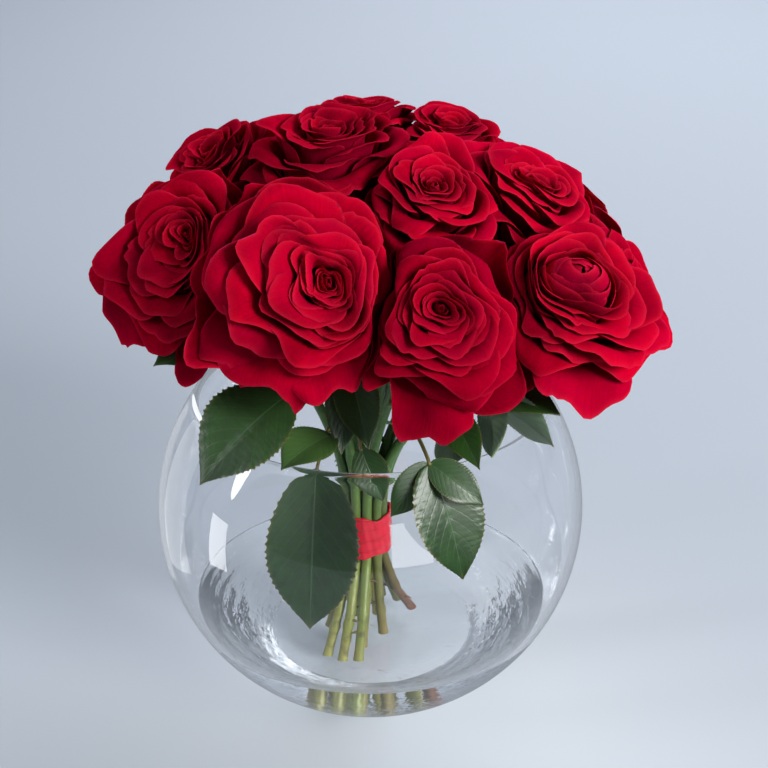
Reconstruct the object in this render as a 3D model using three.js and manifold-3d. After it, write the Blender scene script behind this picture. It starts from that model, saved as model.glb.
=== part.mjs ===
// A hand-tied bunch of fifteen red roses, standing in shallow water in a round glass bowl.
// Millimetres, +Z up. The origin is the centre of the bowl's foot, and the front of the bunch faces -Y.

import * as THREE from 'three';
import { mergeVertices } from 'three/addons/utils/BufferGeometryUtils.js';
import Module from 'manifold-3d';

// Driving dimensions

// Clearance between pieces that touch
const GAP = 0.3;

// The bowl is a sphere cut off at the rim and flattened at the foot
const BOWL = { radius: 100, centreHeight: 88, rimHeight: 146, wall: 3, floor: 8, sides: 32 };
const WATER_LEVEL = 40;

// The band that ties the stems, centred on the axis of the bunch
const TIE = { x: -3, y: 0, bottom: 64, top: 86.5, thickness: 0.8, sides: 16 };

// The stems stand close together in the tie, in an inner and an outer ring round its middle. Each
// ring has its radius and the angles, in degrees, of its first place and of one step round.
const STEM = {
  radius: 2.3,
  sides: 6,
  footClearance: 2.6,
  bend: 0.42,
  rings: {
    inner: { radius: 3.5, start: -60, step: 90 },
    outer: { radius: 8.8, start: -115, step: 360 / 11 },
  },
};

// Height of a bloom's hip, its widest radius, and the straight neck below it
const HIP = { height: 10, radius: 4.6, neck: 26 };

// Sections of a sepal, from the hip outwards: distance from the bloom's axis, height and half width
const SEPAL = {
  count: 5,
  sections: [[2.6, -1.8, 2.5], [9, -5, 1.9]],
  tip: [12, -17],
  lean: 0.6,
  thickness: 1.2,
  scatter: 0.3,
};

// Depth of a bloom, and of its base below its centre, as shares of its radius and of its depth
const BLOOM = { depth: 0.87, baseDepth: 0.55, bulge: 0.55, leastLean: 0.05 };

// Petals of a bloom, from the heart outwards. A pair is the value on the innermost petal and on the
// outermost one. Angles are degrees from the bloom's axis. The rows of points run from a petal's base
// to its lip: how far along, how many steps round the bloom to each side, and how many points.
const PETAL = {
  count: 10,
  thickness: 1.3,
  spread: 1.1,
  press: 0.94,
  rounding: 0.12,
  closed: 0.2,
  opening: 2.1,
  lipHeight: { start: 0.92, rise: 0.2, fall: 0.72 },
  footRadius: 1.5,
  footHeights: [8, 1.5],
  footAngles: [34, 78],
  lipAngles: [-8, 90],
  guardLipAngle: 150,
  pull: 0.45,
  twist: 0.02,
  scatter: 0.01,
  step: Math.PI / 7.5,
  rows: [
    { along: 0, steps: 0, count: 1 },
    { along: 0.34, steps: 1, count: 3 },
    { along: 0.68, steps: 2, count: 5 },
    { along: 1, steps: 2, count: 5 },
  ],
};
const HEART = {
  sides: 10,
  footRadius: 4,
  peak: 0.95,
  rows: [[0, 0, 0], [0.13, 0.13, 0.3], [0.21, 0.16, 0.72], [0.19, 0.12, 1], [0.1, 0.07, 0.8]],
};
const LEAF = {
  thickness: 0.8,
  teeth: 4,
  toothLean: 0.72,
  toothReach: 1.06,
  notchReach: 0.92,
  fullness: 0.52,
  widest: 0.78,
  sunk: 1.2,
  arch: 0.07,
  fold: 0.18,
  stalkRadius: 1,
  stalkSides: 4,
  stalkSteps: 3,
  stalkRise: 4,
};

// Golden angle, by which each petal is turned from the one inside it
const PETAL_TURN = THREE.MathUtils.degToRad(137.5);
const RANDOM_SEED = 15;

// Each rose: the centre of its bloom, its radius, and the way it faces. Heading is degrees from the
// front towards +X, lift is degrees above level. The slot is its stem's place in the tie: inner or
// outer ring, and the position counted round it. The foot is where its stem stands on the floor.
// A guard is an outer petal that droops: its direction round the bloom and how far down its lip
// hangs, as a share of the bloom's depth.
const ROSES = [
  { id: '01', at: [-26, -72, 226], radius: 44, heading: 5, lift: 30, ring: 'outer', slot: 0,
    foot: [-13.3, -37], turn: 1, guards: [[248, 0.16], [286, 0.12]] },
  { id: '02', at: [28, -78, 214], radius: 37, heading: 5, lift: 28, ring: 'outer', slot: 1,
    foot: [-5.8, -37], turn: -1, guards: [[255, 0.34]] },
  { id: '03', at: [87, -52, 211], radius: 39, heading: 25, lift: 45, ring: 'outer', slot: 2,
    foot: [6, -14], turn: 1, guards: [[258, 0.06]] },
  { id: '04', at: [106, -10, 199], radius: 33, heading: 70, lift: 30, ring: 'outer', slot: 3,
    foot: [20, 8], turn: -1, guards: [] },
  { id: '05', at: [66, -4, 239], radius: 37, heading: 52, lift: 58, ring: 'outer', slot: 4,
    foot: [13, 16], turn: 1, guards: [] },
  { id: '06', at: [92, 62, 208], radius: 34, heading: 125, lift: 35, ring: 'outer', slot: 5,
    foot: [5, 20], turn: -1, guards: [] },
  { id: '07', at: [44, 98, 210], radius: 34, heading: 160, lift: 35, ring: 'outer', slot: 6,
    foot: [-3, 20], turn: 1, guards: [] },
  { id: '08', at: [-18, 104, 208], radius: 34, heading: 190, lift: 35, ring: 'outer', slot: 7,
    foot: [-11, 16], turn: -1, guards: [] },
  { id: '09', at: [-68, 76, 210], radius: 34, heading: 222, lift: 35, ring: 'outer', slot: 8,
    foot: [-17, 7], turn: 1, guards: [] },
  { id: '10', at: [-65, 22, 243], radius: 36, heading: -70, lift: 58, ring: 'outer', slot: 9,
    foot: [-20, -8], turn: -1, guards: [] },
  { id: '11', at: [-81, -37, 224], radius: 39, heading: -30, lift: 35, ring: 'outer', slot: 10,
    foot: [-20.5, -33], turn: 1, guards: [] },
  { id: '12', at: [25, -33, 249], radius: 33, heading: 15, lift: 55, ring: 'inner', slot: 0,
    foot: [-4, -26], turn: 1, guards: [] },
  { id: '13', at: [35, 46, 249], radius: 31, heading: 40, lift: 75, ring: 'inner', slot: 1,
    foot: [3, 3], turn: -1, guards: [] },
  { id: '14', at: [-5, 60, 252], radius: 35, heading: 180, lift: 82, ring: 'inner', slot: 2,
    foot: [-8, 2], turn: 1, guards: [] },
  { id: '15', at: [-16, -5, 258], radius: 42, heading: -10, lift: 82, ring: 'inner', slot: 3,
    foot: [-12, -22], turn: -1, guards: [] },
];

// Leaves. Each spray grows from a stem at a height, and its leaflets spread from the joint at the end
// of its stalk. A leaflet has its tip, its width and the way its upper face looks.
const FRONT = [0, -1, 0.45];
const SKY = [0, -0.25, 1];
const BACK = [0.1, 0.95, 0.25];
const SPRAYS = [
  { rose: '01', height: 180, joint: [-33, -61, 174], leaflets: [
    { tip: [-71, -80, 141], width: 40, face: [-0.45, -0.65, 0.65] }] },
  { rose: '01', height: 146, joint: [-23, -56, 135], leaflets: [
    { tip: [-27, -56, 54], width: 39, face: FRONT }] },
  { rose: '01', height: 160, joint: [-16, -57, 152], leaflets: [
    { tip: [-37, -76, 146], width: 23, face: SKY }] },
  { rose: '02', height: 152, joint: [25, -92, 157], via: [20, -62, 161], leaflets: [
    { tip: [39, -101, 108], width: 30, face: [0.36, -0.85, 0.45] },
    { tip: [9, -98, 136], width: 14, face: FRONT },
    { tip: [47, -97, 141], width: 15, face: [0.3, -0.9, 0.5] }] },
  { rose: '02', height: 172, joint: [36, -52, 159], leaflets: [
    { tip: [46, -85, 151], width: 15, face: FRONT },
    { tip: [33, -82, 150], width: 18, face: BACK }] },
  { rose: '03', height: 160, joint: [49, -52, 168], leaflets: [
    { tip: [80, -68, 168], width: 23, face: SKY },
    { tip: [77, -76, 157], width: 19, face: BACK },
    { tip: [51, -82, 155], width: 17, face: BACK }] },
  { rose: '11', height: 194, joint: [-66, -36, 186], leaflets: [
    { tip: [-91, -54, 184], width: 20, face: [-0.2, -0.6, 0.8] }] },
  { rose: '15', height: 186, joint: [-9, -40, 178], leaflets: [
    { tip: [0, -67, 151], width: 19, face: FRONT },
    { tip: [-12, -62, 146], width: 17, face: FRONT }] },
  { rose: '15', height: 140, joint: [-4, -35, 134], leaflets: [
    { tip: [6, -42, 112], width: 16, face: FRONT }] },
  { rose: '04', height: 158, joint: [67, 4, 165], leaflets: [
    { tip: [104, 10, 150], width: 24, face: [0.5, 0, 1] }] },
  { rose: '06', height: 160, joint: [55, 41, 166], leaflets: [
    { tip: [88, 62, 150], width: 26, face: [0.4, 0.3, 1] }] },
  { rose: '07', height: 158, joint: [24, 63, 168], leaflets: [
    { tip: [40, 100, 148], width: 27, face: [0.1, 0.6, 1] }] },
  { rose: '08', height: 158, joint: [-14, 65, 166], leaflets: [
    { tip: [-26, 102, 146], width: 26, face: [-0.1, 0.6, 1] }] },
  { rose: '09', height: 160, joint: [-45, 51, 168], leaflets: [
    { tip: [-72, 78, 150], width: 27, face: [-0.4, 0.4, 1] }] },
  { rose: '10', height: 176, joint: [-59, 14, 178], leaflets: [
    { tip: [-97, 20, 160], width: 26, face: [-0.5, 0.1, 1] }] },
];

// Finishes

const FINISH = {
  glass: { color: 0xdfe6ec, roughness: 0.03, metalness: 0 },
  water: { color: 0xcfdde2, roughness: 0.02, metalness: 0 },
  tape: { color: 0xd8182c, roughness: 0.3, metalness: 0 },
  petal: { color: 0xa50f22, roughness: 0.75, metalness: 0 },
  green: { color: 0x2c5a30, roughness: 0.5, metalness: 0 },
};

const wasm = await Module();
wasm.setup();

// Small helpers

const degrees = THREE.MathUtils.degToRad;
const lerp = THREE.MathUtils.lerp;

// A repeatable random number between -1 and 1 each time it is called
function randomSource(seed) {
  let state = seed;
  return () => {
    state = (state * 16807) % 2147483647;
    return (2 * state) / 2147483647 - 1;
  };
}

// A closed three.js geometry as a solid that can be joined and cut
function solidFrom(geometry) {
  const bare = geometry.clone();
  bare.deleteAttribute('normal');
  bare.deleteAttribute('uv');
  const merged = mergeVertices(bare, 1e-4);
  const triVerts = Uint32Array.from(merged.index.array);
  const vertProperties = Float32Array.from(merged.attributes.position.array);
  return new wasm.Manifold(new wasm.Mesh({ numProp: 3, vertProperties, triVerts }));
}

// A solid from shared points and triangles that already face outwards
function solidFromFaces(points, faces) {
  const vertProperties = Float32Array.from(points.flatMap((point) => point.toArray()));
  const triVerts = Uint32Array.from(faces.flat());
  return new wasm.Manifold(new wasm.Mesh({ numProp: 3, vertProperties, triVerts }));
}

// The outer shell of the largest body in a joined solid, without loose scraps or sealed hollows
function largestBody(solid) {
  const bodies = solid.decompose();
  return bodies.reduce((best, body) => (body.volume() > best.volume() ? body : best));
}

function fused(solids) {
  return largestBody(wasm.Manifold.union(solids));
}

function meshFrom(name, solid, finish) {
  const { vertProperties, triVerts } = solid.getMesh();
  const geometry = new THREE.BufferGeometry();
  geometry.setAttribute('position', new THREE.BufferAttribute(vertProperties, 3));
  geometry.setIndex(new THREE.BufferAttribute(triVerts, 1));
  geometry.computeVertexNormals();
  const mesh = new THREE.Mesh(geometry, new THREE.MeshStandardMaterial(FINISH[finish]));
  mesh.name = name;
  return mesh;
}

// A turned solid from its profile, whose pairs are radius and height
function turned(profile, sides) {
  const outline = profile.map(([radius, height]) => new THREE.Vector2(radius, height));
  return new THREE.LatheGeometry(outline, sides).rotateX(Math.PI / 2);
}

// A regular polygon about the origin, as the section of a stem or a stalk
function ringShape(radius, sides) {
  return new THREE.Shape(Array.from({ length: sides }, (_, side) => {
    const angle = (2 * Math.PI * side) / sides;
    return new THREE.Vector2(radius * Math.cos(angle), radius * Math.sin(angle));
  }));
}

// The bowl and the water

// Radius of a sphere about the bowl's centre, at a height above the foot
function sphereRadius(radius, height) {
  return Math.sqrt(radius ** 2 - (height - BOWL.centreHeight) ** 2);
}

// Heights spaced evenly round the sphere between two heights
function heightsRound(radius, from, to, steps) {
  const start = Math.acos((BOWL.centreHeight - from) / radius);
  const end = Math.acos((BOWL.centreHeight - to) / radius);
  return Array.from({ length: steps + 1 }, (_, step) => (
    BOWL.centreHeight - radius * Math.cos(lerp(start, end, step / steps))));
}

function bowlSolid() {
  const inner = BOWL.radius - BOWL.wall;
  const outside = heightsRound(BOWL.radius, 0, BOWL.rimHeight, 7)
    .map((height) => [sphereRadius(BOWL.radius, height), height]);
  const inside = heightsRound(inner, BOWL.floor, BOWL.rimHeight, 6)
    .map((height) => [sphereRadius(inner, height), height]);
  const profile = [[0, 0], ...outside, ...inside.reverse(), [0, BOWL.floor]];
  return solidFrom(turned(profile, BOWL.sides));
}

// Shallow water that follows the inside of the glass, with a plain hole for each stem
function waterSolid(stemHoles) {
  const inner = BOWL.radius - BOWL.wall;
  const wall = heightsRound(inner, BOWL.floor, BOWL.rimHeight, 6);
  const wet = [...wall.filter((height) => height < WATER_LEVEL), WATER_LEVEL];
  const radii = wet.map((height) => {
    const above = wall.findIndex((step) => step >= height);
    const [low, high] = [wall[Math.max(above - 1, 0)], wall[Math.max(above, 1)]];
    const share = (height - low) / (high - low);
    return lerp(sphereRadius(inner, low), sphereRadius(inner, high), share) - 1.5 * GAP;
  });
  wet[0] = BOWL.floor + GAP;
  const profile = [[0, wet[0]], ...wet.map((height, step) => [radii[step], height]), [0, WATER_LEVEL]];
  return largestBody(wasm.Manifold.difference([solidFrom(turned(profile, BOWL.sides)), ...stemHoles]));
}

// The stems

// A path of several curves, each walked in its own number of equal steps
class SteppedPath extends THREE.Curve {
  constructor(parts) {
    super();
    this.parts = parts;
    this.steps = parts.reduce((sum, part) => sum + part.steps, 0);
  }

  getUtoTmapping(share) {
    return share;
  }

  getPoint(share, target = new THREE.Vector3()) {
    let walked = share * this.steps;
    for (const part of this.parts) {
      if (walked <= part.steps + 1e-9) return target.copy(part.curve.getPoint(walked / part.steps));
      walked -= part.steps;
    }
    return target.copy(this.parts.at(-1).curve.getPoint(1));
  }
}

// Right, up and outward directions of a bloom, as someone facing it sees them
function bloomFrame({ heading, lift }) {
  const turn = degrees(heading);
  const rise = degrees(lift);
  const axis = new THREE.Vector3(
    Math.sin(turn) * Math.cos(rise), -Math.cos(turn) * Math.cos(rise), Math.sin(rise));
  const right = new THREE.Vector3(Math.cos(turn), Math.sin(turn), 0);
  return { right, up: new THREE.Vector3().crossVectors(axis, right), axis };
}

function bloomDepth(rose) {
  return BLOOM.depth * rose.radius;
}

// The point where a bloom's petals meet its hip
function bloomBase(rose) {
  const { axis } = bloomFrame(rose);
  return new THREE.Vector3(...rose.at).addScaledVector(axis, -BLOOM.baseDepth * bloomDepth(rose));
}

// Where a stem passes through the tie: two close-packed rings of stems
function tiePlace({ ring, slot }) {
  const { radius, start, step } = STEM.rings[ring];
  const angle = degrees(start + step * slot);
  return [TIE.x + radius * Math.cos(angle), TIE.y + radius * Math.sin(angle)];
}

// A stem's path: up from the floor, straight through the tie, then out and over to the bloom's hip
function stemPath(rose) {
  const [x, y] = tiePlace(rose);
  const [footX, footY] = rose.foot;
  const frame = bloomFrame(rose);
  const hip = bloomBase(rose).addScaledVector(frame.axis, -HIP.height);
  const reach = STEM.bend * hip.distanceTo(new THREE.Vector3(x, y, TIE.top));
  const foot = new THREE.Vector3(footX, footY, BOWL.floor + STEM.footClearance);
  const lower = new THREE.Vector3(x, y, TIE.bottom - 1);
  const upper = new THREE.Vector3(x, y, TIE.top + 1);
  return new SteppedPath([
    { curve: new THREE.LineCurve3(foot, lower), steps: 1 },
    { curve: new THREE.LineCurve3(lower, upper), steps: 1 },
    { curve: new THREE.CubicBezierCurve3(upper, upper.clone().setZ(upper.z + reach),
      hip.clone().addScaledVector(frame.axis, -HIP.neck), hip), steps: 5 },
    { curve: new THREE.LineCurve3(hip, bloomBase(rose).addScaledVector(frame.axis, -GAP)), steps: 2 },
  ]);
}

// A round stem along its path. Its radius changes at the rings counted back from its upper end.
function stemTube(path, radius, endRadii) {
  const options = { steps: path.steps, bevelEnabled: false, extrudePath: path };
  const tube = new THREE.ExtrudeGeometry(ringShape(radius, STEM.sides), options);
  const position = tube.getAttribute('position');
  const centres = path.getSpacedPoints(path.steps);
  for (let index = 0; index < position.count; index += 1) {
    const point = new THREE.Vector3().fromBufferAttribute(position, index);
    const distances = centres.map((centre) => centre.distanceTo(point));
    const nearest = distances.indexOf(Math.min(...distances));
    const widened = endRadii[path.steps - nearest] ?? radius;
    point.sub(centres[nearest]).multiplyScalar(widened / radius).add(centres[nearest]);
    position.setXYZ(index, point.x, point.y, point.z);
  }
  return solidFrom(tube);
}

// The matrix that puts a shape made along +Z on a bloom's axis, at a distance from its base
function onBloomAxis(rose, distance) {
  const { right, up, axis } = bloomFrame(rose);
  const origin = bloomBase(rose).addScaledVector(axis, distance);
  return new THREE.Matrix4().makeBasis(right, up, axis).setPosition(origin);
}

// Narrow sepals that spread from the hip's rim and bend back towards the stem
function sepalSolids(rose, random) {
  const place = onBloomAxis(rose, -GAP);
  return Array.from({ length: SEPAL.count }, (_, index) => {
    const angle = (2 * Math.PI * (index + SEPAL.scatter * random())) / SEPAL.count;
    const points = SEPAL.sections.flatMap(([radius, height, half]) => [
      [radius, -half, height],
      [radius, half, height],
      [radius + SEPAL.lean, 0, height + SEPAL.thickness],
    ]);
    points.push([SEPAL.tip[0], 0, SEPAL.tip[1]]);
    const faces = [[1, 0, 2], [3, 4, 6], [4, 5, 6], [5, 3, 6]];
    for (const [a, b] of [[0, 1], [1, 2], [2, 0]]) {
      faces.push([a, b, b + 3], [a, b + 3, a + 3]);
    }
    const up = new THREE.Vector3(0, 0, 1);
    const placed = points.map((point) => (
      new THREE.Vector3(...point).applyAxisAngle(up, angle).applyMatrix4(place)));
    return solidFromFaces(placed, faces);
  });
}

// The leaves

// A point on a stem's path at a height above the floor, found by walking down from the bloom
function pointAtHeight(path, height) {
  const samples = path.getSpacedPoints(10 * path.steps).reverse();
  return samples.find((point) => point.z <= height);
}

// A thin leaflet, arched along its middle rib and folded a little, with a toothed edge. Its upper
// and lower faces are split alike. It is widest below the middle of its length, nearer the stalk.
function leafletSolid(root, { tip, width, face }) {
  const along = new THREE.Vector3(...tip).sub(root);
  const across = new THREE.Vector3().crossVectors(along, new THREE.Vector3(...face)).normalize();
  const up = new THREE.Vector3().crossVectors(across, along).normalize();
  const place = (share, side, half) => root.clone().addScaledVector(along, share)
    .addScaledVector(up, LEAF.arch * along.length() * 4 * share * (1 - share) + LEAF.fold * half)
    .addScaledVector(across, side * half);
  const half = (share) => LEAF.fullness * width * Math.sin(Math.PI * share ** LEAF.widest);
  const points = [];
  const add = (share, side, reach) => points.push(place(share, side, reach)) - 1;
  const rib = Array.from({ length: LEAF.teeth + 1 }, (_, index) => add(index / LEAF.teeth, 0, 0));
  const faces = [];
  const edges = [-1, 1].map((side) => {
    const edge = [rib[0]];
    for (let tooth = 0; tooth < LEAF.teeth; tooth += 1) {
      const notch = edge.at(-1);
      const share = (tooth + LEAF.toothLean) / LEAF.teeth;
      const peak = add(share, side, LEAF.toothReach * half(share));
      const isLast = tooth === LEAF.teeth - 1;
      const nextShare = (tooth + 1) / LEAF.teeth;
      const next = isLast ? rib[tooth + 1] : add(nextShare, side, LEAF.notchReach * half(nextShare));
      const sheets = [
        [rib[tooth], notch, peak],
        [rib[tooth], peak, rib[tooth + 1]],
        [rib[tooth + 1], peak, next],
      ];
      const kept = sheets.filter(([a, b, c]) => a !== b && a !== c && b !== c);
      faces.push(...(side > 0 ? kept : kept.map((sheet) => sheet.reverse())));
      edge.push(peak, next);
    }
    return edge;
  });
  const outline = [...edges[1], ...edges[0].slice(1, -1).reverse()];
  const count = points.length;
  const layer = (side) => points.map((point) => (
    point.clone().addScaledVector(up, (side * LEAF.thickness) / 2)));
  const walls = outline.flatMap((corner, index) => {
    const next = outline[(index + 1) % outline.length];
    return [[corner, corner + count, next + count], [corner, next + count, next]];
  });
  const under = faces.map(([a, b, c]) => [a + count, c + count, b + count]);
  return solidFromFaces([...layer(1), ...layer(-1)], [...faces, ...under, ...walls]);
}

// A thin stalk between two points, bending over a point on its way
function stalkSolid(from, over, to) {
  const path = new THREE.QuadraticBezierCurve3(from, over, to);
  const options = { steps: LEAF.stalkSteps, bevelEnabled: false, extrudePath: path };
  const section = ringShape(LEAF.stalkRadius, LEAF.stalkSides);
  return solidFrom(new THREE.ExtrudeGeometry(section, options));
}

// The sprays of leaves that grow from one stem
function spraySolids(rose) {
  const path = stemPath(rose);
  return SPRAYS.filter((spray) => spray.rose === rose.id).flatMap((spray) => {
    const joint = new THREE.Vector3(...spray.joint);
    const root = pointAtHeight(path, spray.height);
    const middle = root.clone().lerp(joint, 0.5).setZ(Math.max(root.z, joint.z) + LEAF.stalkRise);
    const over = spray.via ? new THREE.Vector3(...spray.via) : middle;
    const heel = over.clone().sub(joint).setLength(LEAF.sunk).add(joint);
    const leaflets = spray.leaflets.map((leaflet) => leafletSolid(heel, leaflet));
    return [stalkSolid(root, over, joint), ...leaflets];
  });
}

// The petals

// Flat borders between neighbouring blooms, as a direction from this bloom and a distance along it
function bordersOf(rose) {
  const centre = new THREE.Vector3(...rose.at);
  return ROSES.filter((other) => other !== rose).map((other) => {
    const towards = new THREE.Vector3(...other.at).sub(centre);
    const apart = towards.length();
    const distance = (apart ** 2 + rose.radius ** 2 - other.radius ** 2) / (2 * apart);
    return { towards: towards.normalize(), distance };
  });
}

// Draws a point in towards the bloom's centre, so that the bloom fills the room that its neighbours
// leave and ends at the border with each. All points in one direction are drawn in alike, by the
// room there over the bloom's natural reach, which is widest round its side.
function keepInside(point, rose, borders, margin) {
  const centre = new THREE.Vector3(...rose.at);
  const offset = point.clone().sub(centre);
  const length = offset.length();
  offset.divideScalar(length);
  const room = Math.min(...borders.map(({ towards, distance }) => (
    (distance - margin) / Math.max(offset.dot(towards), BLOOM.leastLean))));
  const lean = offset.dot(bloomFrame(rose).axis);
  const sideways = PETAL.spread * Math.sqrt(Math.max(1 - lean ** 2, 0));
  const reach = rose.radius * Math.hypot(sideways, BLOOM.bulge * lean);
  const drawn = length * Math.min(1, room / (PETAL.press * reach));
  return centre.addScaledVector(offset, Math.min(drawn, room));
}

// The points of a petal, row by row from its base to its lip. Its profile is a curve from the hip to
// the lip, steep and closed on the inner petals and open on the outer ones. Its columns stand at whole
// steps round the bloom, as those of every other petal do, so that the layers lie in each other
// without crossing. The side columns end short of the lip, which rounds the petal.
function petalPoints(rose, share, middleStep, droop) {
  const isGuard = droop !== null;
  const narrowed = lerp(1, PETAL.closed, Math.abs(1 - share) ** PETAL.opening);
  const { start, rise, fall } = PETAL.lipHeight;
  const lipHeight = isGuard ? -droop : start + rise * share - fall * share ** 2;
  const baseAngle = degrees(lerp(...PETAL.footAngles, share));
  const lipAngle = degrees(isGuard ? PETAL.guardLipAngle : lerp(...PETAL.lipAngles, share));
  const base = new THREE.Vector2(PETAL.footRadius, lerp(...PETAL.footHeights, share));
  const lip = new THREE.Vector2(PETAL.spread * rose.radius * narrowed, bloomDepth(rose) * lipHeight);
  const pull = PETAL.pull * base.distanceTo(lip);
  const profile = new THREE.CubicBezierCurve(base,
    new THREE.Vector2(base.x + pull * Math.sin(baseAngle), base.y + pull * Math.cos(baseAngle)),
    new THREE.Vector2(lip.x - pull * Math.sin(lipAngle), lip.y - pull * Math.cos(lipAngle)), lip);
  const pointAt = (along, steps, across) => {
    const point = profile.getPoint(along * (1 - PETAL.rounding * (across * along) ** 2));
    const angle = PETAL.step * (middleStep + steps * across);
    const radius = point.x * (1 + PETAL.twist * rose.turn * across);
    return new THREE.Vector3(radius * Math.cos(angle), radius * Math.sin(angle), point.y);
  };
  return PETAL.rows.map(({ along, steps, count }) => Array.from({ length: count }, (_, column) => (
    pointAt(along, steps, count === 1 ? 0 : (2 * column) / (count - 1) - 1))));
}

// Triangles between a row of points and the next one. The next row has as many points, or twice as
// many less one, or any number where the first is a single point.
function stripFaces(low, high) {
  if (low.length === 1) {
    return high.slice(1).map((corner, index) => [low[0], corner, high[index]]);
  }
  return low.slice(1).flatMap((next, column) => {
    const start = low[column];
    if (high.length > low.length) {
      const [left, middle, right] = high.slice(2 * column, 2 * column + 3);
      return [[start, middle, left], [start, next, middle], [next, right, middle]];
    }
    const [left, right] = high.slice(column, column + 2);
    return column < (low.length - 1) / 2
      ? [[start, next, left], [next, right, left]]
      : [[start, next, right], [start, right, left]];
  });
}

// A thin closed blade over rows of points, thick in the middle and meeting in an edge all round.
// Both faces are split alike, and every triangle has a corner inside the edge, so none is doubled.
function bladeSolid(grid, thickness) {
  const points = [];
  const front = [];
  const back = [];
  grid.forEach((line, row) => {
    const isEnd = row === 0 || row === grid.length - 1;
    front.push([]);
    back.push([]);
    line.forEach((point, column) => {
      if (isEnd || column === 0 || column === line.length - 1) {
        front[row].push(points.push(point) - 1);
        back[row].push(front[row].at(-1));
        return;
      }
      const acrossWay = line[column + 1].clone().sub(line[column - 1]);
      const nextLine = grid[row + 1];
      const ahead = Math.round((column * (nextLine.length - 1)) / (line.length - 1));
      const alongWay = nextLine[ahead].clone().sub(point);
      const offset = new THREE.Vector3().crossVectors(acrossWay, alongWay).setLength(thickness / 2);
      front[row].push(points.push(point.clone().add(offset)) - 1);
      back[row].push(points.push(point.clone().sub(offset)) - 1);
    });
  });
  const facesOf = (side) => side.slice(1).flatMap((line, row) => stripFaces(side[row], line));
  return solidFromFaces(points, [...facesOf(front), ...facesOf(back).map((face) => face.reverse())]);
}

function bloomSolid(rose, random) {
  const place = onBloomAxis(rose, 0);
  const borders = bordersOf(rose);
  const margin = GAP / 2 + PETAL.thickness / 2;
  const settle = (point) => keepInside(point.applyMatrix4(place), rose, borders, margin);
  const petals = Array.from({ length: PETAL.count }, (_, index) => {
    const guard = rose.guards[PETAL.count - 1 - index] ?? null;
    const share = (index + 1) / PETAL.count;
    const turn = guard ? degrees(guard[0]) : rose.turn * index * PETAL_TURN;
    const middleStep = Math.round(turn / PETAL.step);
    const grid = petalPoints(rose, share + PETAL.scatter * random(), middleStep, guard && guard[1]);
    return bladeSolid(grid.map((line) => line.map(settle)), PETAL.thickness);
  });
  return fused([heartSolid(rose, settle), ...petals]);
}

// The bloom's heart: a bud rolled in a spiral, on the short cone that the petals grow from. Each row
// is a radius at the start and at the end of the turn, as shares of the bloom's radius, and a height
// as a share of its depth. The difference makes the step where the outermost rolled petal ends.
function heartSolid(rose, settle) {
  const depth = bloomDepth(rose);
  const points = [new THREE.Vector3(0, 0, 0)];
  for (const [start, end, height] of HEART.rows) {
    for (let side = 0; side < HEART.sides; side += 1) {
      const share = side / HEART.sides;
      const angle = rose.turn * 2 * Math.PI * share;
      const radius = height === 0 ? HEART.footRadius : rose.radius * lerp(start, end, share);
      points.push(new THREE.Vector3(radius * Math.cos(angle), radius * Math.sin(angle), depth * height));
    }
  }
  points.push(new THREE.Vector3(0, 0, HEART.peak * depth));
  const faces = [];
  const last = HEART.rows.length - 1;
  for (let side = 0; side < HEART.sides; side += 1) {
    const next = (side + 1) % HEART.sides;
    faces.push([0, next + 1, side + 1]);
    for (let row = 0; row < last; row += 1) {
      const [low, high] = [1 + row * HEART.sides, 1 + (row + 1) * HEART.sides];
      faces.push([low + side, low + next, high + next], [low + side, high + next, high + side]);
    }
    faces.push([1 + last * HEART.sides + side, 1 + last * HEART.sides + next, points.length - 1]);
  }
  const outward = rose.turn > 0 ? faces : faces.map((face) => face.reverse());
  return solidFromFaces(points.map(settle), outward);
}

// The tie

function tieSolid() {
  const inside = STEM.rings.outer.radius + STEM.radius + 2 * GAP;
  const outside = inside + TIE.thickness;
  const profile = [[inside, TIE.bottom], [outside, TIE.bottom], [outside, TIE.top], [inside, TIE.top],
    [inside, TIE.bottom]];
  return solidFrom(turned(profile, TIE.sides).translate(TIE.x, TIE.y, 0));
}

// The whole bunch in its bowl

const bouquet = new THREE.Group();
const random = randomSource(RANDOM_SEED);
const stemHoles = ROSES.map((rose) => stemTube(stemPath(rose), STEM.radius + 1.5 * GAP, []));
bouquet.add(meshFrom('bowl', bowlSolid(), 'glass'));
bouquet.add(meshFrom('water', waterSolid(stemHoles), 'water'));
bouquet.add(meshFrom('tie_band', tieSolid(), 'tape'));
for (const rose of ROSES) {
  const tube = stemTube(stemPath(rose), STEM.radius, [HIP.radius, HIP.radius]);
  const stem = fused([tube, ...sepalSolids(rose, random), ...spraySolids(rose)]);
  bouquet.add(meshFrom(`rose_${rose.id}_stem`, stem, 'green'));
  bouquet.add(meshFrom(`rose_${rose.id}_bloom`, bloomSolid(rose, random), 'petal'));
}

export default bouquet;
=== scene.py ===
"""Red roses tied by hand, standing in shallow water in a round clear glass bowl.

Lengths are millimetres until a mesh is written, which is in metres, with +Z up, the front of the
bunch towards -Y and the origin at the centre of the bowl's foot. The script takes the image to be
768 x 768 pixels.
"""

import logging
import math
from dataclasses import dataclass
from enum import Enum
from typing import NamedTuple

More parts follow.
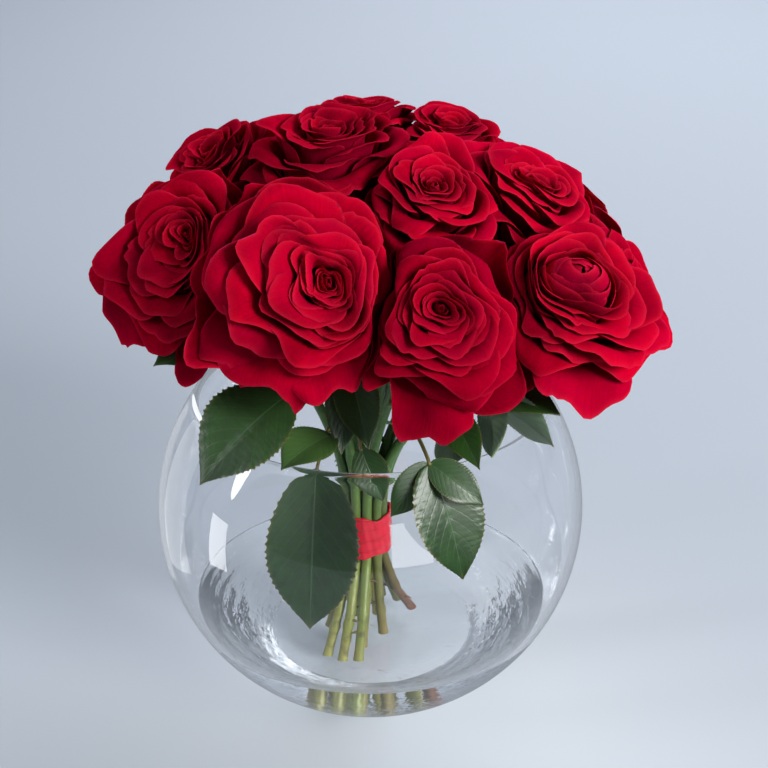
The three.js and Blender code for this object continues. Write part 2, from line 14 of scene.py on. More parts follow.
import bpy
import numpy as np
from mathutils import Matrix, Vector


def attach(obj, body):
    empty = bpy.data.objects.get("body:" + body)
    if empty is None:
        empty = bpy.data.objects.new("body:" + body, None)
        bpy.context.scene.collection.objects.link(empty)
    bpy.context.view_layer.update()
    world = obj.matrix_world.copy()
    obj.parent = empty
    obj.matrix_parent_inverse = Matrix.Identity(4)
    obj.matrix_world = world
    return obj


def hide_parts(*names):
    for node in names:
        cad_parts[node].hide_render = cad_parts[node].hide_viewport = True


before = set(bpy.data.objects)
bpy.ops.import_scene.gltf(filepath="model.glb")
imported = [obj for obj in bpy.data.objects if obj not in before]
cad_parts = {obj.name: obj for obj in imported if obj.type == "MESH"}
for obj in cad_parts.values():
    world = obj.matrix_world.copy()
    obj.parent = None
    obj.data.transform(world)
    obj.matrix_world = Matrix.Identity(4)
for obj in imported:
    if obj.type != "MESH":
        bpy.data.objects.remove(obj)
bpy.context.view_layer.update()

MM = 0.001
BODY = "root"
GAP = 0.3
GOLDEN_ANGLE = math.radians(137.5)
# A leaflet has side veins where SIDE_VEINS * along - VEIN_SLANT * |across| is whole.
SIDE_VEINS = 9.0
VEIN_SLANT = 2.6

log = logging.getLogger("roses")

Number = float | np.ndarray


# Helpers for arrays of points


def lerp(start: Number, end: Number, share: Number) -> Number:
    """Returns the value at a share of the way from start to end."""
    return start + (end - start) * share


def smooth(share: np.ndarray) -> np.ndarray:
    """Returns 3t² - 2t³ of each share, held between 0 and 1."""
    held = np.clip(share, 0.0, 1.0)
    return held * held * (3.0 - 2.0 * held)


def unit(vectors: np.ndarray) -> np.ndarray:
    """Returns the vectors divided by their lengths."""
    return vectors / np.maximum(np.linalg.norm(vectors, axis=-1, keepdims=True), 1e-12)


def knots(share: np.ndarray, values: dict[float, float]) -> np.ndarray:
    """Returns values read off straight lines between knots, given as share: value."""
    return np.interp(share, list(values.keys()), list(values.values()))


def bezier(points: np.ndarray, steps: int) -> np.ndarray:
    """Walks a cubic curve: (1-t)³a + 3(1-t)²t b + 3(1-t)t² c + t³ d, at even steps of t.

    Args:
        points: The four control points, as rows.
        steps: How many steps the walk has.

    Returns:
        The points of the curve, one row more than the steps.
    """
    t = np.linspace(0.0, 1.0, steps + 1)[:, None]
    a, b, c, d = np.asarray(points, float)
    return (1 - t) ** 3 * a + 3 * (1 - t) ** 2 * t * b + 3 * (1 - t) * t**2 * c + t**3 * d


def eased(path: np.ndarray, reach: int) -> np.ndarray:
    """Rounds the corners of a path by averaging each point with its neighbours.

    Args:
        path: Points along the path, as rows.
        reach: How many neighbours each side are averaged.

    Returns:
        The eased points, with the two ends kept.
    """
    padded = np.pad(path, ((reach, reach), (0, 0)), mode="reflect", reflect_type="odd")
    weights = np.hanning(2 * reach + 3)[1:-1]
    weights /= weights.sum()
    return np.stack([np.convolve(padded[:, k], weights, mode="valid") for k in range(3)], axis=1)


def walked(path: np.ndarray) -> np.ndarray:
    """Returns the distance walked along a path at each of its points."""
    return np.concatenate([[0.0], np.cumsum(np.linalg.norm(np.diff(path, axis=0), axis=1))])


def round_angles(sides: int) -> np.ndarray:
    """Returns the angles of points spaced evenly round a circle, from 0."""
    return 2 * np.pi * np.arange(sides) / sides


# Meshes


class MeshParts:
    """Collects closed shells of quads and writes them as one mesh.

    Each corner carries a place on its surface (the UV map "place": across, along) and a tint (the
    colour attribute "tint": the shell's rank, 1 at its marked faces, and a random share).
    """

    def __init__(self) -> None:
        """Starts with no shells."""
        self.shells: list[tuple] = []
        self.count = 0

    def add(
        self,
        points: np.ndarray,
        faces: np.ndarray,
        places: np.ndarray | None = None,
        tint: tuple = (0.0, 0.0),
        marked: np.ndarray | None = None,
        rim: np.ndarray | None = None,
    ) -> None:
        """Adds a shell.

        Args:
            points: The shell's points, in millimetres.
            faces: Indices of four points a face, facing outwards.
            places: The place of each point on its surface, or None for its X and Y.
            tint: The shell's rank and random share.
            marked: True at the marked faces, or their numbers, or None.
            rim: True at the points of a sharp rim, or None.
        """
        places = points[:, :2] if places is None else places
        tints = np.tile([tint[0], 0.0, tint[1], 0.0], (len(faces), 4, 1))
        if marked is not None:
            tints[marked, :, 1] = 1.0
        rim = np.zeros(len(points), bool) if rim is None else rim
        self.shells.append((points, faces + self.count, places[faces], tints, rim))
        self.count += len(points)

    @staticmethod
    def quads(index: np.ndarray, closed: bool = False) -> np.ndarray:
        """Joins a grid of point numbers into quads.

        Args:
            index: Point numbers, as rows along and columns across.
            closed: True where the last column meets the first.

        Returns:
            Four point numbers a face, turning from along to across.
        """
        ring = np.concatenate([index, index[:, :1]], axis=1) if closed else index
        corners = (ring[:-1, :-1], ring[1:, :-1], ring[1:, 1:], ring[:-1, 1:])
        return np.stack(corners, axis=-1).reshape(-1, 4)

    @classmethod
    def tube_faces(cls, rows: int, sides: int) -> np.ndarray:
        """Joins rings of points, and one more point at each end, into a closed tube.

        Args:
            rows: How many rings there are. Their points come first, then the two ends' points.
            sides: Points in a ring.

        Returns:
            Four point numbers a face: the wall, the first end, the last end. They face outwards
            where the rings turn anticlockwise to someone who looks back from the last.
        """
        index = np.arange(rows * sides).reshape(rows, sides)
        ends = np.concatenate([index, index[:, :1]], axis=1)[[0, -1]]
        first, last = (np.stack([end[:-1:2], end[1::2], end[2::2], np.full(sides // 2, hub)], axis=1)
                       for end, hub in zip(ends, (rows * sides, rows * sides + 1)))
        return np.concatenate([cls.quads(index, closed=True)[:, ::-1], first[:, ::-1], last])

    def add_sheet(self, grid: np.ndarray, place: np.ndarray, half: float, tint: tuple) -> None:
        """Adds a thin sheet that ends in a fine edge all round, with its back marked.

        Each point inside the rim is moved both ways along the surface's normal, the cross product
        of its steps along and across, by half the thickness. Both faces share the rim's points.

        Args:
            grid: Points as rows along the sheet, columns across it and x, y, z.
            place: Place of each point on the surface.
            half: Half of the sheet's thickness.
            tint: The sheet's rank and random share.
        """
        rows, columns = grid.shape[:2]
        normal = unit(np.cross(np.gradient(grid, axis=0), np.gradient(grid, axis=1)))
        inside = np.zeros((rows, columns), bool)
        inside[1:-1, 1:-1] = True
        lift = np.where(inside[..., None], normal * half, 0.0)
        front = np.arange(rows * columns).reshape(rows, columns)
        back = front.copy()
        back[inside] = rows * columns + np.arange(inside.sum())
        points = np.concatenate([(grid + lift).reshape(-1, 3), (grid - lift)[inside]])
        places = np.concatenate([place.reshape(-1, 2), place[inside]])
        faces = np.concatenate([self.quads(front), self.quads(back)[:, ::-1]])
        beneath = np.arange(len(faces)) >= len(faces) // 2
        rim = np.concatenate([~inside.ravel(), np.zeros(inside.sum(), bool)])
        self.add(points, faces, places, tint, beneath, rim)

    def add_tube(
        self, centres: np.ndarray, radii: np.ndarray, side: np.ndarray, sides: int, tint: tuple
    ) -> None:
        """Adds a closed tube, its rings square to the path, with its first end marked and sharp.

        Args:
            centres: Points along the middle of the tube.
            radii: The tube's radius at each.
            side: A direction that is never along the path.
            sides: Points round the tube.
            tint: The tube's rank and random share.
        """
        along = unit(np.gradient(centres, axis=0))
        right = unit(np.cross(along, side))
        up = np.cross(right, along)
        turn = round_angles(sides)[:, None]
        out = np.cos(turn) * right[:, None] + np.sin(turn) * up[:, None]
        rings = centres[:, None] + radii[:, None, None] * out
        points = np.concatenate([rings.reshape(-1, 3), centres[[0, -1]]])
        walk = walked(centres)
        places = np.stack(np.meshgrid(np.arange(sides) / sides, walk), axis=-1).reshape(-1, 2)
        places = np.concatenate([places, [[0.5, 0.0], [0.5, walk[-1]]]])
        faces = self.tube_faces(len(centres), sides)[:, ::-1]
        end = (len(centres) - 1) * sides + np.arange(sides // 2)
        self.add(points, faces, places, tint, end, np.arange(len(points)) < sides)

    def build(self, name: str, material: bpy.types.Material) -> bpy.types.Object:
        """Writes the shells as one smooth mesh, in metres, whose object sits at the origin.

        Args:
            name: The piece's name.
            material: The finish that it wears.

        Returns:
            The new object.
        """
        points, faces, places, tints, rim = (np.concatenate(part) for part in zip(*self.shells))
        mesh = bpy.data.meshes.new(name)
        mesh.vertices.add(len(points))
        mesh.vertices.foreach_set("co", (points * MM).astype(np.float32).ravel())
        mesh.loops.add(faces.size)
        mesh.loops.foreach_set("vertex_index", faces.astype(np.int32).ravel())
        mesh.polygons.add(len(faces))
        mesh.polygons.foreach_set("loop_start", np.arange(0, faces.size, 4, dtype=np.int32))
        mesh.polygons.foreach_set("use_smooth", np.ones(len(faces), bool))
        mesh.update(calc_edges=True)
        layer = mesh.uv_layers.new(name="place")
        layer.data.foreach_set("uv", places.astype(np.float32).ravel())
        layer = mesh.attributes.new("tint", "FLOAT_COLOR", "CORNER")
        layer.data.foreach_set("color", tints.astype(np.float32).ravel())
        if rim.any():
            ends = np.empty(2 * len(mesh.edges), np.int32)
            mesh.edges.foreach_get("vertices", ends)
            layer = mesh.attributes.new("sharp_edge", "BOOLEAN", "EDGE")
            layer.data.foreach_set("value", rim[ends.reshape(-1, 2)].all(axis=1))
        mesh.validate()
        mesh.materials.append(material)
        return shown(name, mesh)


def shown(name: str, data: bpy.types.ID) -> bpy.types.Object:
    """Puts a new object with the given mesh, lamp or camera into the scene and returns it."""
    thing = bpy.data.objects.new(name, data)
    bpy.context.scene.collection.objects.link(thing)
    return thing


def turned(profile: np.ndarray, sides: int, name: str, material: bpy.types.Material) -> bpy.types.Object:
    """Turns a profile round the Z axis: (r cos a, r sin a, z) for every angle a.

    Args:
        profile: Radius and height of each point, from the axis out and back to the axis, so that
            the outside is on the right of someone walking along it.
        sides: Points round the axis.
        name: The piece's name.
        material: The finish that it wears.

    Returns:
        The new object, closed by a point on the axis at each end.
    """
    turn = round_angles(sides)
    radius, height = profile[1:-1, :1], profile[1:-1, 1:]
    wall = np.stack(np.broadcast_arrays(radius * np.cos(turn), radius * np.sin(turn), height), axis=-1)
    points = np.concatenate([wall.reshape(-1, 3), [[0, 0, profile[0, 1]], [0, 0, profile[-1, 1]]]])
    parts = MeshParts()
    parts.add(points, MeshParts.tube_faces(len(radius), sides))
    return parts.build(name, material)


# Finishes


class Field:
    """A value that varies over a surface: a node's output, to which arithmetic adds Math nodes."""

    def __init__(self, nodes: "Nodes", output: bpy.types.NodeSocket) -> None:
        """Takes one output of one of the nodes."""
        self.nodes, self.output = nodes, output

    def math(self, operation: str, first: "float | Field", second: "float | Field" = 0.0) -> "Field":
        """Adds a Math node.

        Args:
            operation: The node's operation, in capitals.
            first: A number or a field.
            second: A number or a field.

        Returns:
            The result.
        """
        node = self.nodes.add("Math", first, second)
        node.operation = operation
        return self.nodes.field(node)

    def __add__(self, other: "float | Field") -> "Field":
        """Returns the sum."""
        return self.math("ADD", self, other)

    def __sub__(self, other: "float | Field") -> "Field":
        """Returns the difference."""
        return self.math("SUBTRACT", self, other)

    def __rsub__(self, other: "float | Field") -> "Field":
        """Returns a number less this value."""
        return self.math("SUBTRACT", other, self)

    def __mul__(self, other: "float | Field") -> "Field":
        """Returns the product."""
        return self.math("MULTIPLY", self, other)

    def __pow__(self, other: "float | Field") -> "Field":
        """Returns the power."""
        return self.math("POWER", self, other)

    def __abs__(self) -> "Field":
        """Returns the value without its sign."""
        return self.math("ABSOLUTE", self)

    def at_least(self, other: "float | Field") -> "Field":
        """Returns the larger of two values."""
        return self.math("MAXIMUM", self, other)

    def held(self) -> "Field":
        """Holds this result of a Math node between 0 and 1."""
        self.output.node.use_clamp = True
        return self


class Nodes:
    """The nodes of a material or of the world, added one line each."""

    def __init__(self, tree: bpy.types.NodeTree) -> None:
        """Takes the tree that the nodes are in."""
        self.tree = tree

    def feed(self, socket: bpy.types.NodeSocket, value: float | tuple | Field) -> None:
        """Gives an input its value.

        Args:
            socket: The input.
            value: A number, a colour without its alpha, a vector or a field.
        """
        if isinstance(value, Field):
            self.tree.links.new(value.output, socket)
        else:
            socket.default_value = (*value, 1.0) if socket.type == "RGBA" else value

    def add(
        self, kind: str, *values: float | tuple | Field, **named: float | tuple | Field
    ) -> bpy.types.Node:
        """Adds a node.

        Args:
            kind: Its type, without the word ShaderNode in front.
            values: Values of its first inputs, in their order.
            named: Values of inputs by name, with underscores for spaces.

        Returns:
            The node.
        """
        node = self.tree.nodes.new("ShaderNode" + kind)
        for socket, value in zip(node.inputs, values):
            self.feed(socket, value)
        for name, value in named.items():
            self.feed(node.inputs[name.replace("_", " ")], value)
        return node

    def field(self, node: bpy.types.Node, output: str | int = 0) -> Field:
        """Returns an output of a node, given by its name or number, as a field."""
        return Field(self, node.outputs[output])

    def split(self, vector: Field) -> tuple[Field, Field, Field]:
        """Returns the three values in a vector."""
        node = self.add("SeparateXYZ", vector)
        return tuple(self.field(node, way) for way in range(3))


class Shader(Nodes):
    """A material that starts with its surface shader and output."""

    def __init__(self, name: str) -> None:
        """Makes the material."""
        self.material = bpy.data.materials.new(name)
        self.material.use_nodes = True
        super().__init__(self.material.node_tree)
        self.surface = self.tree.nodes["Principled BSDF"]

    def set(self, **values: float | tuple | Field) -> None:
        """Sets inputs of the surface shader by name, with underscores for spaces."""
        for name, value in values.items():
            self.feed(self.surface.inputs[name.replace("_", " ")], value)

    def ramp(self, share: Field, stops: tuple) -> Field:
        """Adds a colour ramp.

        Args:
            share: The value that picks the colour.
            stops: Places on the ramp with their colours.

        Returns:
            The picked colour.
        """
        node = self.add("ValToRGB", share)
        elements = node.color_ramp.elements
        while len(elements) < len(stops):
            elements.new(0.5)
        for element, (place, colour) in zip(elements, stops):
            element.position = place
            element.color = (*colour, 1.0)
        return self.field(node)

    def mix(self, share: Field, first: tuple | Field, second: tuple | Field) -> Field:
        """Mixes two colours.

        Args:
            share: How much of the second colour shows.
            first: A colour or a field.
            second: A colour or a field.

        Returns:
            The mixed colour.
        """
        node = self.add("Mix", share)
        node.data_type = "RGBA"
        self.feed(node.inputs[6], first)
        self.feed(node.inputs[7], second)
        return self.field(node, 2)

    def place(self) -> tuple[Field, Field]:
        """Reads the UV map "place".

        Returns:
            How far across and how far along its surface a point is.
        """
        node = self.add("UVMap")
        node.uv_map = "place"
        return self.split(self.field(node))[:2]

    def tint(self) -> tuple[Field, Field, Field]:
        """Reads the attribute "tint".

        Returns:
            The shell's rank, 1 at its marked faces, and its random share.
        """
        node = self.add("Attribute")
        node.attribute_name = "tint"
        parts = self.add("SeparateColor", self.field(node, "Color"))
        return tuple(self.field(parts, part) for part in range(3))

    def spot(self) -> Field:
        """Returns a point's Object coordinates."""
        return self.field(self.add("TexCoord"), "Object")

    def noise(self, scale: float, detail: float, where: tuple | None = None) -> Field:
        """Adds a noise.

        Args:
            scale: Cycles a metre, or a unit of the given place.
            detail: Octaves of finer noise.
            where: The place in the noise as three fields, or None for the Object coordinates.

        Returns:
            A value around 0.5.
        """
        vector = self.field(self.add("CombineXYZ", *where)) if where else self.spot()
        return self.field(self.add("TexNoise", vector, Scale=scale, Detail=detail))

    def streaks(self, across: float, upwards: float) -> Field:
        """Returns a noise with so many cycles a metre across and upwards."""
        x, y, z = self.split(self.spot())
        return self.noise(1.0, 3.0, (x * across, y * across, z * upwards))

    def bump(self, height: Field, strength: float, distance: float) -> None:
        """Roughens the surface by a height, over a distance in metres."""
        node = self.add("Bump", Strength=strength, Distance=distance, Height=height)
        self.set(Normal=self.field(node))


@dataclass(frozen=True)
class PetalFinish:
    """Velvety crimson, with painted shade deep in the bloom, painted light towards the lip and a pink
    painted highlight along the edges.
    """

    # deep is painted shade at the foot of each petal, deep in the bloom, and bright is painted light towards
    # its lip; the veins, clouds and darker roses also mix towards deep.
    deep: tuple = (0.05, 0.0, 0.002)
    body: tuple = (0.21, 0.0, 0.004)
    bright: tuple = (0.46, 0.0, 0.017)
    # rim is a pink painted highlight along the petals' edges and lips.
    rim: tuple = (0.58, 0.012, 0.034)
    underside: tuple = (0.31, 0.001, 0.021)
    aged: tuple = (0.15, 0.0, 0.016)
    sheen: tuple = (1.0, 0.03, 0.07)
    depth_shade_end: float = 0.56
    lip_light_start: float = 0.88
    vein_scale: tuple = (34.0, 2.4, 40.0)
    vein_strength: float = 0.42
    cloud_scale: float = 38.0
    cloud_least: float = 0.42
    cloud_gain: float = 2.6
    crumple_scale: float = 260.0
    velvet_scale: float = 1500.0
    relief_depth: float = 0.0005
    rim_fineness: float = 38.0

    def material(self) -> bpy.types.Material:
        """Builds the finish.

        Returns:
            The material.
        """
        shader = Shader("rose_petal")
        across, along = shader.place()
        depth, side, chance = shader.tint()
        # Painted shade at the foot of each petal, deep in the bloom, giving way to painted light towards its
        # lip.
        body = shader.ramp(along, ((0.0, self.deep), (self.depth_shade_end, self.body),
                                   (self.lip_light_start, self.bright), (1.0, self.bright)))
        shade = shader.mix(side * 0.8, body, self.underside)
        veins = shader.noise(1.0, 4.0, tuple(
            way * scale for way, scale in zip((across, along, chance), self.vein_scale)))
        veined = shader.mix(veins * self.vein_strength, shade, self.deep)
        cloud = (shader.noise(self.cloud_scale, 4.0) - self.cloud_least).held()
        varied = shader.mix((cloud * self.cloud_gain).held(), veined, self.deep)
        # The tint's first value, read here as depth, is the rose's shade: painted shade that darkens the
        # whole bloom.
        varied = shader.mix(depth * 0.7, varied, self.deep)
        older = shader.mix(chance * 0.35, varied, self.aged)
        # A pink painted highlight along the edges and the lip, fainter on the darker roses.
        edge_highlight = (abs(across).at_least(along) ** self.rim_fineness).held()
        coloured = shader.mix(edge_highlight * (0.5 - depth * 0.3), older, self.rim)
        shader.set(Base_Color=coloured, Roughness=0.55, Specular_IOR_Level=0.0,
                   Sheen_Weight=0.10, Sheen_Roughness=0.3, Sheen_Tint=self.sheen,
                   Subsurface_Weight=0.3, Subsurface_Radius=(1.0, 0.1, 0.1), Subsurface_Scale=0.002)
        velvet, crumple = shader.noise(self.velvet_scale, 2.0), shader.noise(self.crumple_scale, 3.0)
        shader.bump(veins * 0.8 + velvet * 0.22 + crumple * 0.5, 0.5, self.relief_depth)
        return shader.material


@dataclass(frozen=True)
class LeafFinish:
    """Dark waxy green above with pale veins and a brownish edge, duller and paler beneath."""

    dark: tuple = (0.003, 0.018, 0.002)
    green: tuple = (0.012, 0.052, 0.005)
    fresh: tuple = (0.075, 0.15, 0.04)
    vein: tuple = (0.06, 0.13, 0.05)
    beneath: tuple = (0.15, 0.23, 0.14)
    edge: tuple = (0.16, 0.11, 0.03)
    side_vein_fineness: float = 9.0
    midrib_fineness: float = 26.0
    rim_fineness: float = 40.0
    mottle_scale: float = 160.0
    grain_scale: float = 420.0
    relief_depth: float = 0.0006

    def material(self) -> bpy.types.Material:
        """Builds the finish.

        Returns:
            The material.
        """
        shader = Shader("rose_leaf")
        across, along = shader.place()
        freshness, side, _ = shader.tint()
        apart = abs(across)
        count = along * SIDE_VEINS - apart * VEIN_SLANT
        wave = count.math("PINGPONG", count + 20.0, 0.5)
        side_vein = (1.0 - wave * self.side_vein_fineness).held()
        midrib = (1.0 - apart * self.midrib_fineness).held()
        veins = (side_vein * 0.22).at_least(midrib).held()
        mottle = (shader.noise(self.mottle_scale, 4.0) * 1.1).held()
        upper = shader.mix(mottle, self.dark, self.green)
        upper = shader.mix(freshness, upper, self.fresh)
        upper, lower = (shader.mix(veins * 0.5, base, self.vein) for base in (upper, self.beneath))
        rim = (apart.at_least(along) ** self.rim_fineness).held()
        coloured = shader.mix(rim * 0.7, shader.mix(side, upper, lower), self.edge)
        shader.set(Base_Color=coloured, Roughness=0.42, Specular_IOR_Level=0.45,
                   Coat_Weight=0.12, Coat_Roughness=0.3,
                   Subsurface_Weight=0.06, Subsurface_Radius=(0.4, 1.0, 0.2), Subsurface_Scale=0.001)
        relief = wave * 0.4 + shader.noise(self.grain_scale, 3.0) * 0.5 - veins
        shader.bump(relief, 0.3, self.relief_depth)
        return shader.material


@dataclass(frozen=True)
class StemFinish:
    """Green bark that turns yellow-green, brown or maroon towards the foot, with pale flecks."""

    green: tuple = (0.075, 0.16, 0.03)
    dark: tuple = (0.03, 0.085, 0.02)
    fleck: tuple = (0.20, 0.22, 0.10)
    brown: tuple = (0.07, 0.035, 0.012)
    cut: tuple = (0.36, 0.33, 0.16)
    feet: tuple = ((0.0, (0.10, 0.16, 0.02)), (0.35, (0.26, 0.24, 0.05)),
                   (0.7, (0.14, 0.075, 0.02)), (1.0, (0.13, 0.02, 0.02)))
    foot_height: float = 1 / 9
    patch_noise: tuple = (130.0, 4.0, 0.52)
    fleck_noise: tuple = (700.0, 1.0, 0.62)
    mottle_scale: float = 230.0
    grain_scale: float = 480.0
    relief_depth: float = 0.0005

    def material(self) -> bpy.types.Material:
        """Builds the finish.

        Returns:
            The material.
        """
        shader = Shader("rose_stem")
        tone, cut_end, _ = shader.tint()
        patches, flecks = (((shader.noise(scale, detail) - least) * 6.0).held()
                           for scale, detail, least in (self.patch_noise, self.fleck_noise))
        low = shader.mix(patches * 0.8, shader.ramp(tone, self.feet), self.brown)
        height = shader.split(shader.spot())[2]
        mottled = shader.mix(shader.noise(self.mottle_scale, 4.0), self.green, self.dark)
        bark = shader.mix((height * (1 / self.foot_height)).held(), low, mottled)
        bark = shader.mix(flecks * 0.5, bark, self.fleck)
        shader.set(Base_Color=shader.mix(cut_end, bark, self.cut), Roughness=0.42,
                   Specular_IOR_Level=0.45)
        shader.bump(shader.noise(self.grain_scale, 3.0), 0.4, self.relief_depth)
        return shader.material


@dataclass(frozen=True)
class TapeFinish:
    """Glossy red tape with fine creases round the stems."""

    bright: tuple = (0.58, 0.0, 0.02)
    deep: tuple = (0.4, 0.0, 0.012)
    crease_scale: tuple = (60.0, 420.0)
    crease_depth: float = 0.0008

    def material(self) -> bpy.types.Material:
        """Builds the finish.

        Returns:
            The material.
        """
        shader = Shader("red_tape")
        shader.set(Base_Color=shader.mix(shader.noise(120.0, 3.0), self.bright, self.deep),
                   Roughness=0.26, Specular_IOR_Level=0.45, Coat_Weight=0.35, Coat_Roughness=0.1)
        shader.bump(shader.streaks(*self.crease_scale), 0.8, self.crease_depth)
        return shader.material


@dataclass(frozen=True)
class ClearFinish:
    """A clear material that bends light and lets the lamps' light through.

    Shadow rays pass straight through it in the shadow colour, and so do rays that it has mirrored
    more often than the limit.
    """

    name: str
    colour: tuple
    ior: float
    ripple: float = 0.0
    ripple_scale: tuple = (45.0, 190.0)
    ripple_depth: float = 0.0035
    ripple_height: float = 1 / 24
    shadow: tuple = (0.975, 0.98, 0.985)
    mirror_limit: float = 2.5

    def material(self) -> bpy.types.Material:
        """Builds the finish, with ripples that fade upwards from the foot.

        Returns:
            The material.
        """
        shader = Shader(self.name)
        shader.set(Base_Color=self.colour, Roughness=0.0, IOR=self.ior, Transmission_Weight=1.0)
        if self.ripple:
            low = (1.0 - shader.split(shader.spot())[2] * (1 / self.ripple_height)).held()
            shader.bump(shader.streaks(*self.ripple_scale) * low, self.ripple, self.ripple_depth)
        clear = shader.field(shader.add("BsdfTransparent", self.shadow))
        rays = shader.add("LightPath")
        depth = shader.field(rays, "Glossy Depth")
        spent = depth.math("GREATER_THAN", depth, self.mirror_limit)
        passes = shader.field(rays, "Is Shadow Ray").at_least(spent)
        blend = shader.add("MixShader", passes, shader.field(shader.surface), clear)
        shader.feed(shader.tree.nodes["Material Output"].inputs["Surface"], shader.field(blend))
        return shader.material


@dataclass(frozen=True)
class PaperFinish:
    """The plain pale surface that the bowl stands on and its backdrop, with a pool of painted light in front
    of the bowl.
    """

    colour: tuple = (0.302, 0.328, 0.369)
    # The colour at the middle of a pool of painted light in front of the bowl, which fades out to the
    # paper's own colour.
    light: tuple = (0.43, 0.457, 0.489)
    painted_light_place: tuple = (0.02, -0.08)
    painted_light_radius: float = 0.16

    def material(self) -> bpy.types.Material:
        """Builds the finish, with a pool of painted light that fades as exp(-(r / R)²).

        Returns:
            The material.
        """
        shader = Shader("pale_paper")
        x, y = (way - middle for way, middle in zip(shader.split(shader.spot()), self.painted_light_place))
        square = x * x + y * y
        # The share of the pool of painted light: 1 at its middle, fading as exp(-(r / R)²).
        near = square.math("EXPONENT", square * (-1 / self.painted_light_radius**2))
        shader.set(Base_Color=shader.mix(near, self.colour, self.light), Roughness=0.7,
                   Specular_IOR_Level=0.25)
        return shader.material


# The bowl, the water and the tie


@dataclass
class Bowl:
    """A glass sphere with a flat foot, cut off at a rounded rim, and the shallow water in it."""

    radius: float = 100.0
    centre_height: float = 88.0
    rim_height: float = 146.0
    wall: float = 3.0
    floor: float = 8.0
    water_level: float = 40.0
    foot_rounding: float = 1.6
    foot_inset: float = 2.6
    floor_rounding: float = 1.0
    floor_inset: float = 4.0
    lip_height: float = 1.2
    lip_steps: int = 12
    water_gap: float = 0.06
    meniscus: float = 1.6
    meniscus_reach: float = 1.8
    sides: int = 192
    arc_steps: int = 64

    def arc(self, radius: float, low: float, high: float) -> np.ndarray:
        """Walks the sphere's outline from one height to another.

        A point is (r sin a, c - r cos a), with a the angle from the bottom and c the centre.

        Args:
            radius: The sphere's radius.
            low: The height at the start.
            high: The height at the end.

        Returns:
            Radius and height of each point.
        """
        ends = [math.acos((self.centre_height - height) / radius) for height in (low, high)]
        angle = np.linspace(*ends, self.arc_steps + 1)
        return np.stack([radius * np.sin(angle), self.centre_height - radius * np.cos(angle)], axis=1)

    def glass_profile(self) -> np.ndarray:
        """Works out the glass: foot, outer wall, a half circle for a rim, inner wall and floor.

        Returns:
            Radius and height of each point, from the axis to the axis.
        """
        top, low = self.rim_height - self.lip_height, self.floor + self.floor_rounding
        outside = self.arc(self.radius, self.foot_rounding, top)
        inside = self.arc(self.radius - self.wall, low, top)[::-1]
        middle = (outside[-1] + inside[0]) / 2
        half = np.linalg.norm(outside[-1] - inside[0]) / 2
        start = math.atan2(*(outside[-1] - middle)[::-1])
        turn = start + np.linspace(0, np.pi, self.lip_steps + 1)[1:-1]
        lip = middle + half * np.stack([np.cos(turn), np.sin(turn)], axis=1)
        foot_edge = outside[0, 0] - self.foot_inset
        foot = [[0, 0.0], [foot_edge * 0.5, 0.0], [foot_edge, 0.0], [outside[0, 0] - 1.0, 0.35]]
        edge, floor = inside[-1, 0], self.floor
        bottom = [[edge - self.floor_inset, floor], [edge * 0.6, floor - 0.6],
                  [0, floor - self.floor_rounding]]
        return np.concatenate([foot, outside, lip, inside, bottom])

    def water_profile(self) -> np.ndarray:
        """Works out the water, which reaches a hair into the glass so that no air shows between.

        At a distance d from the glass its surface is meniscus * exp(-d / reach) above its level.

        Returns:
            Radius and height of each point, from the axis to the axis.
        """
        inner = self.radius - self.wall + self.water_gap
        wall = self.arc(inner, self.floor + self.floor_rounding, self.water_level + self.meniscus)
        low_edge, edge = wall[0, 0], wall[-1, 0]
        away = np.linspace(0, 9.0, 10)[1:]
        climb = self.meniscus * np.exp(-away / self.meniscus_reach)
        surface = np.stack([edge - away, self.water_level + climb], axis=1)
        bottom = self.floor - self.floor_rounding
        underside = [[0, bottom - 0.05], [low_edge * 0.6, bottom + 0.35],
                     [low_edge - self.floor_inset, self.floor - 0.05]]
        flat = [[edge * 0.55, self.water_level], [0, self.water_level]]
        return np.concatenate([underside, wall, surface, flat])

    def build(self) -> None:
        """Builds the glass and the water."""
        glass = turned(self.glass_profile(), self.sides, "glass_bowl",
                       ClearFinish("clear_glass", (0.985, 0.992, 1.0), 1.5, 0.6).material())
        water = turned(self.water_profile(), self.sides, "shallow_water",
                       ClearFinish("clear_water", (0.985, 0.995, 1.0), 1.333).material())
        glass.visible_diffuse = water.visible_diffuse = False
        register(glass, "glass", "bowl")
        register(water, "water", "water")


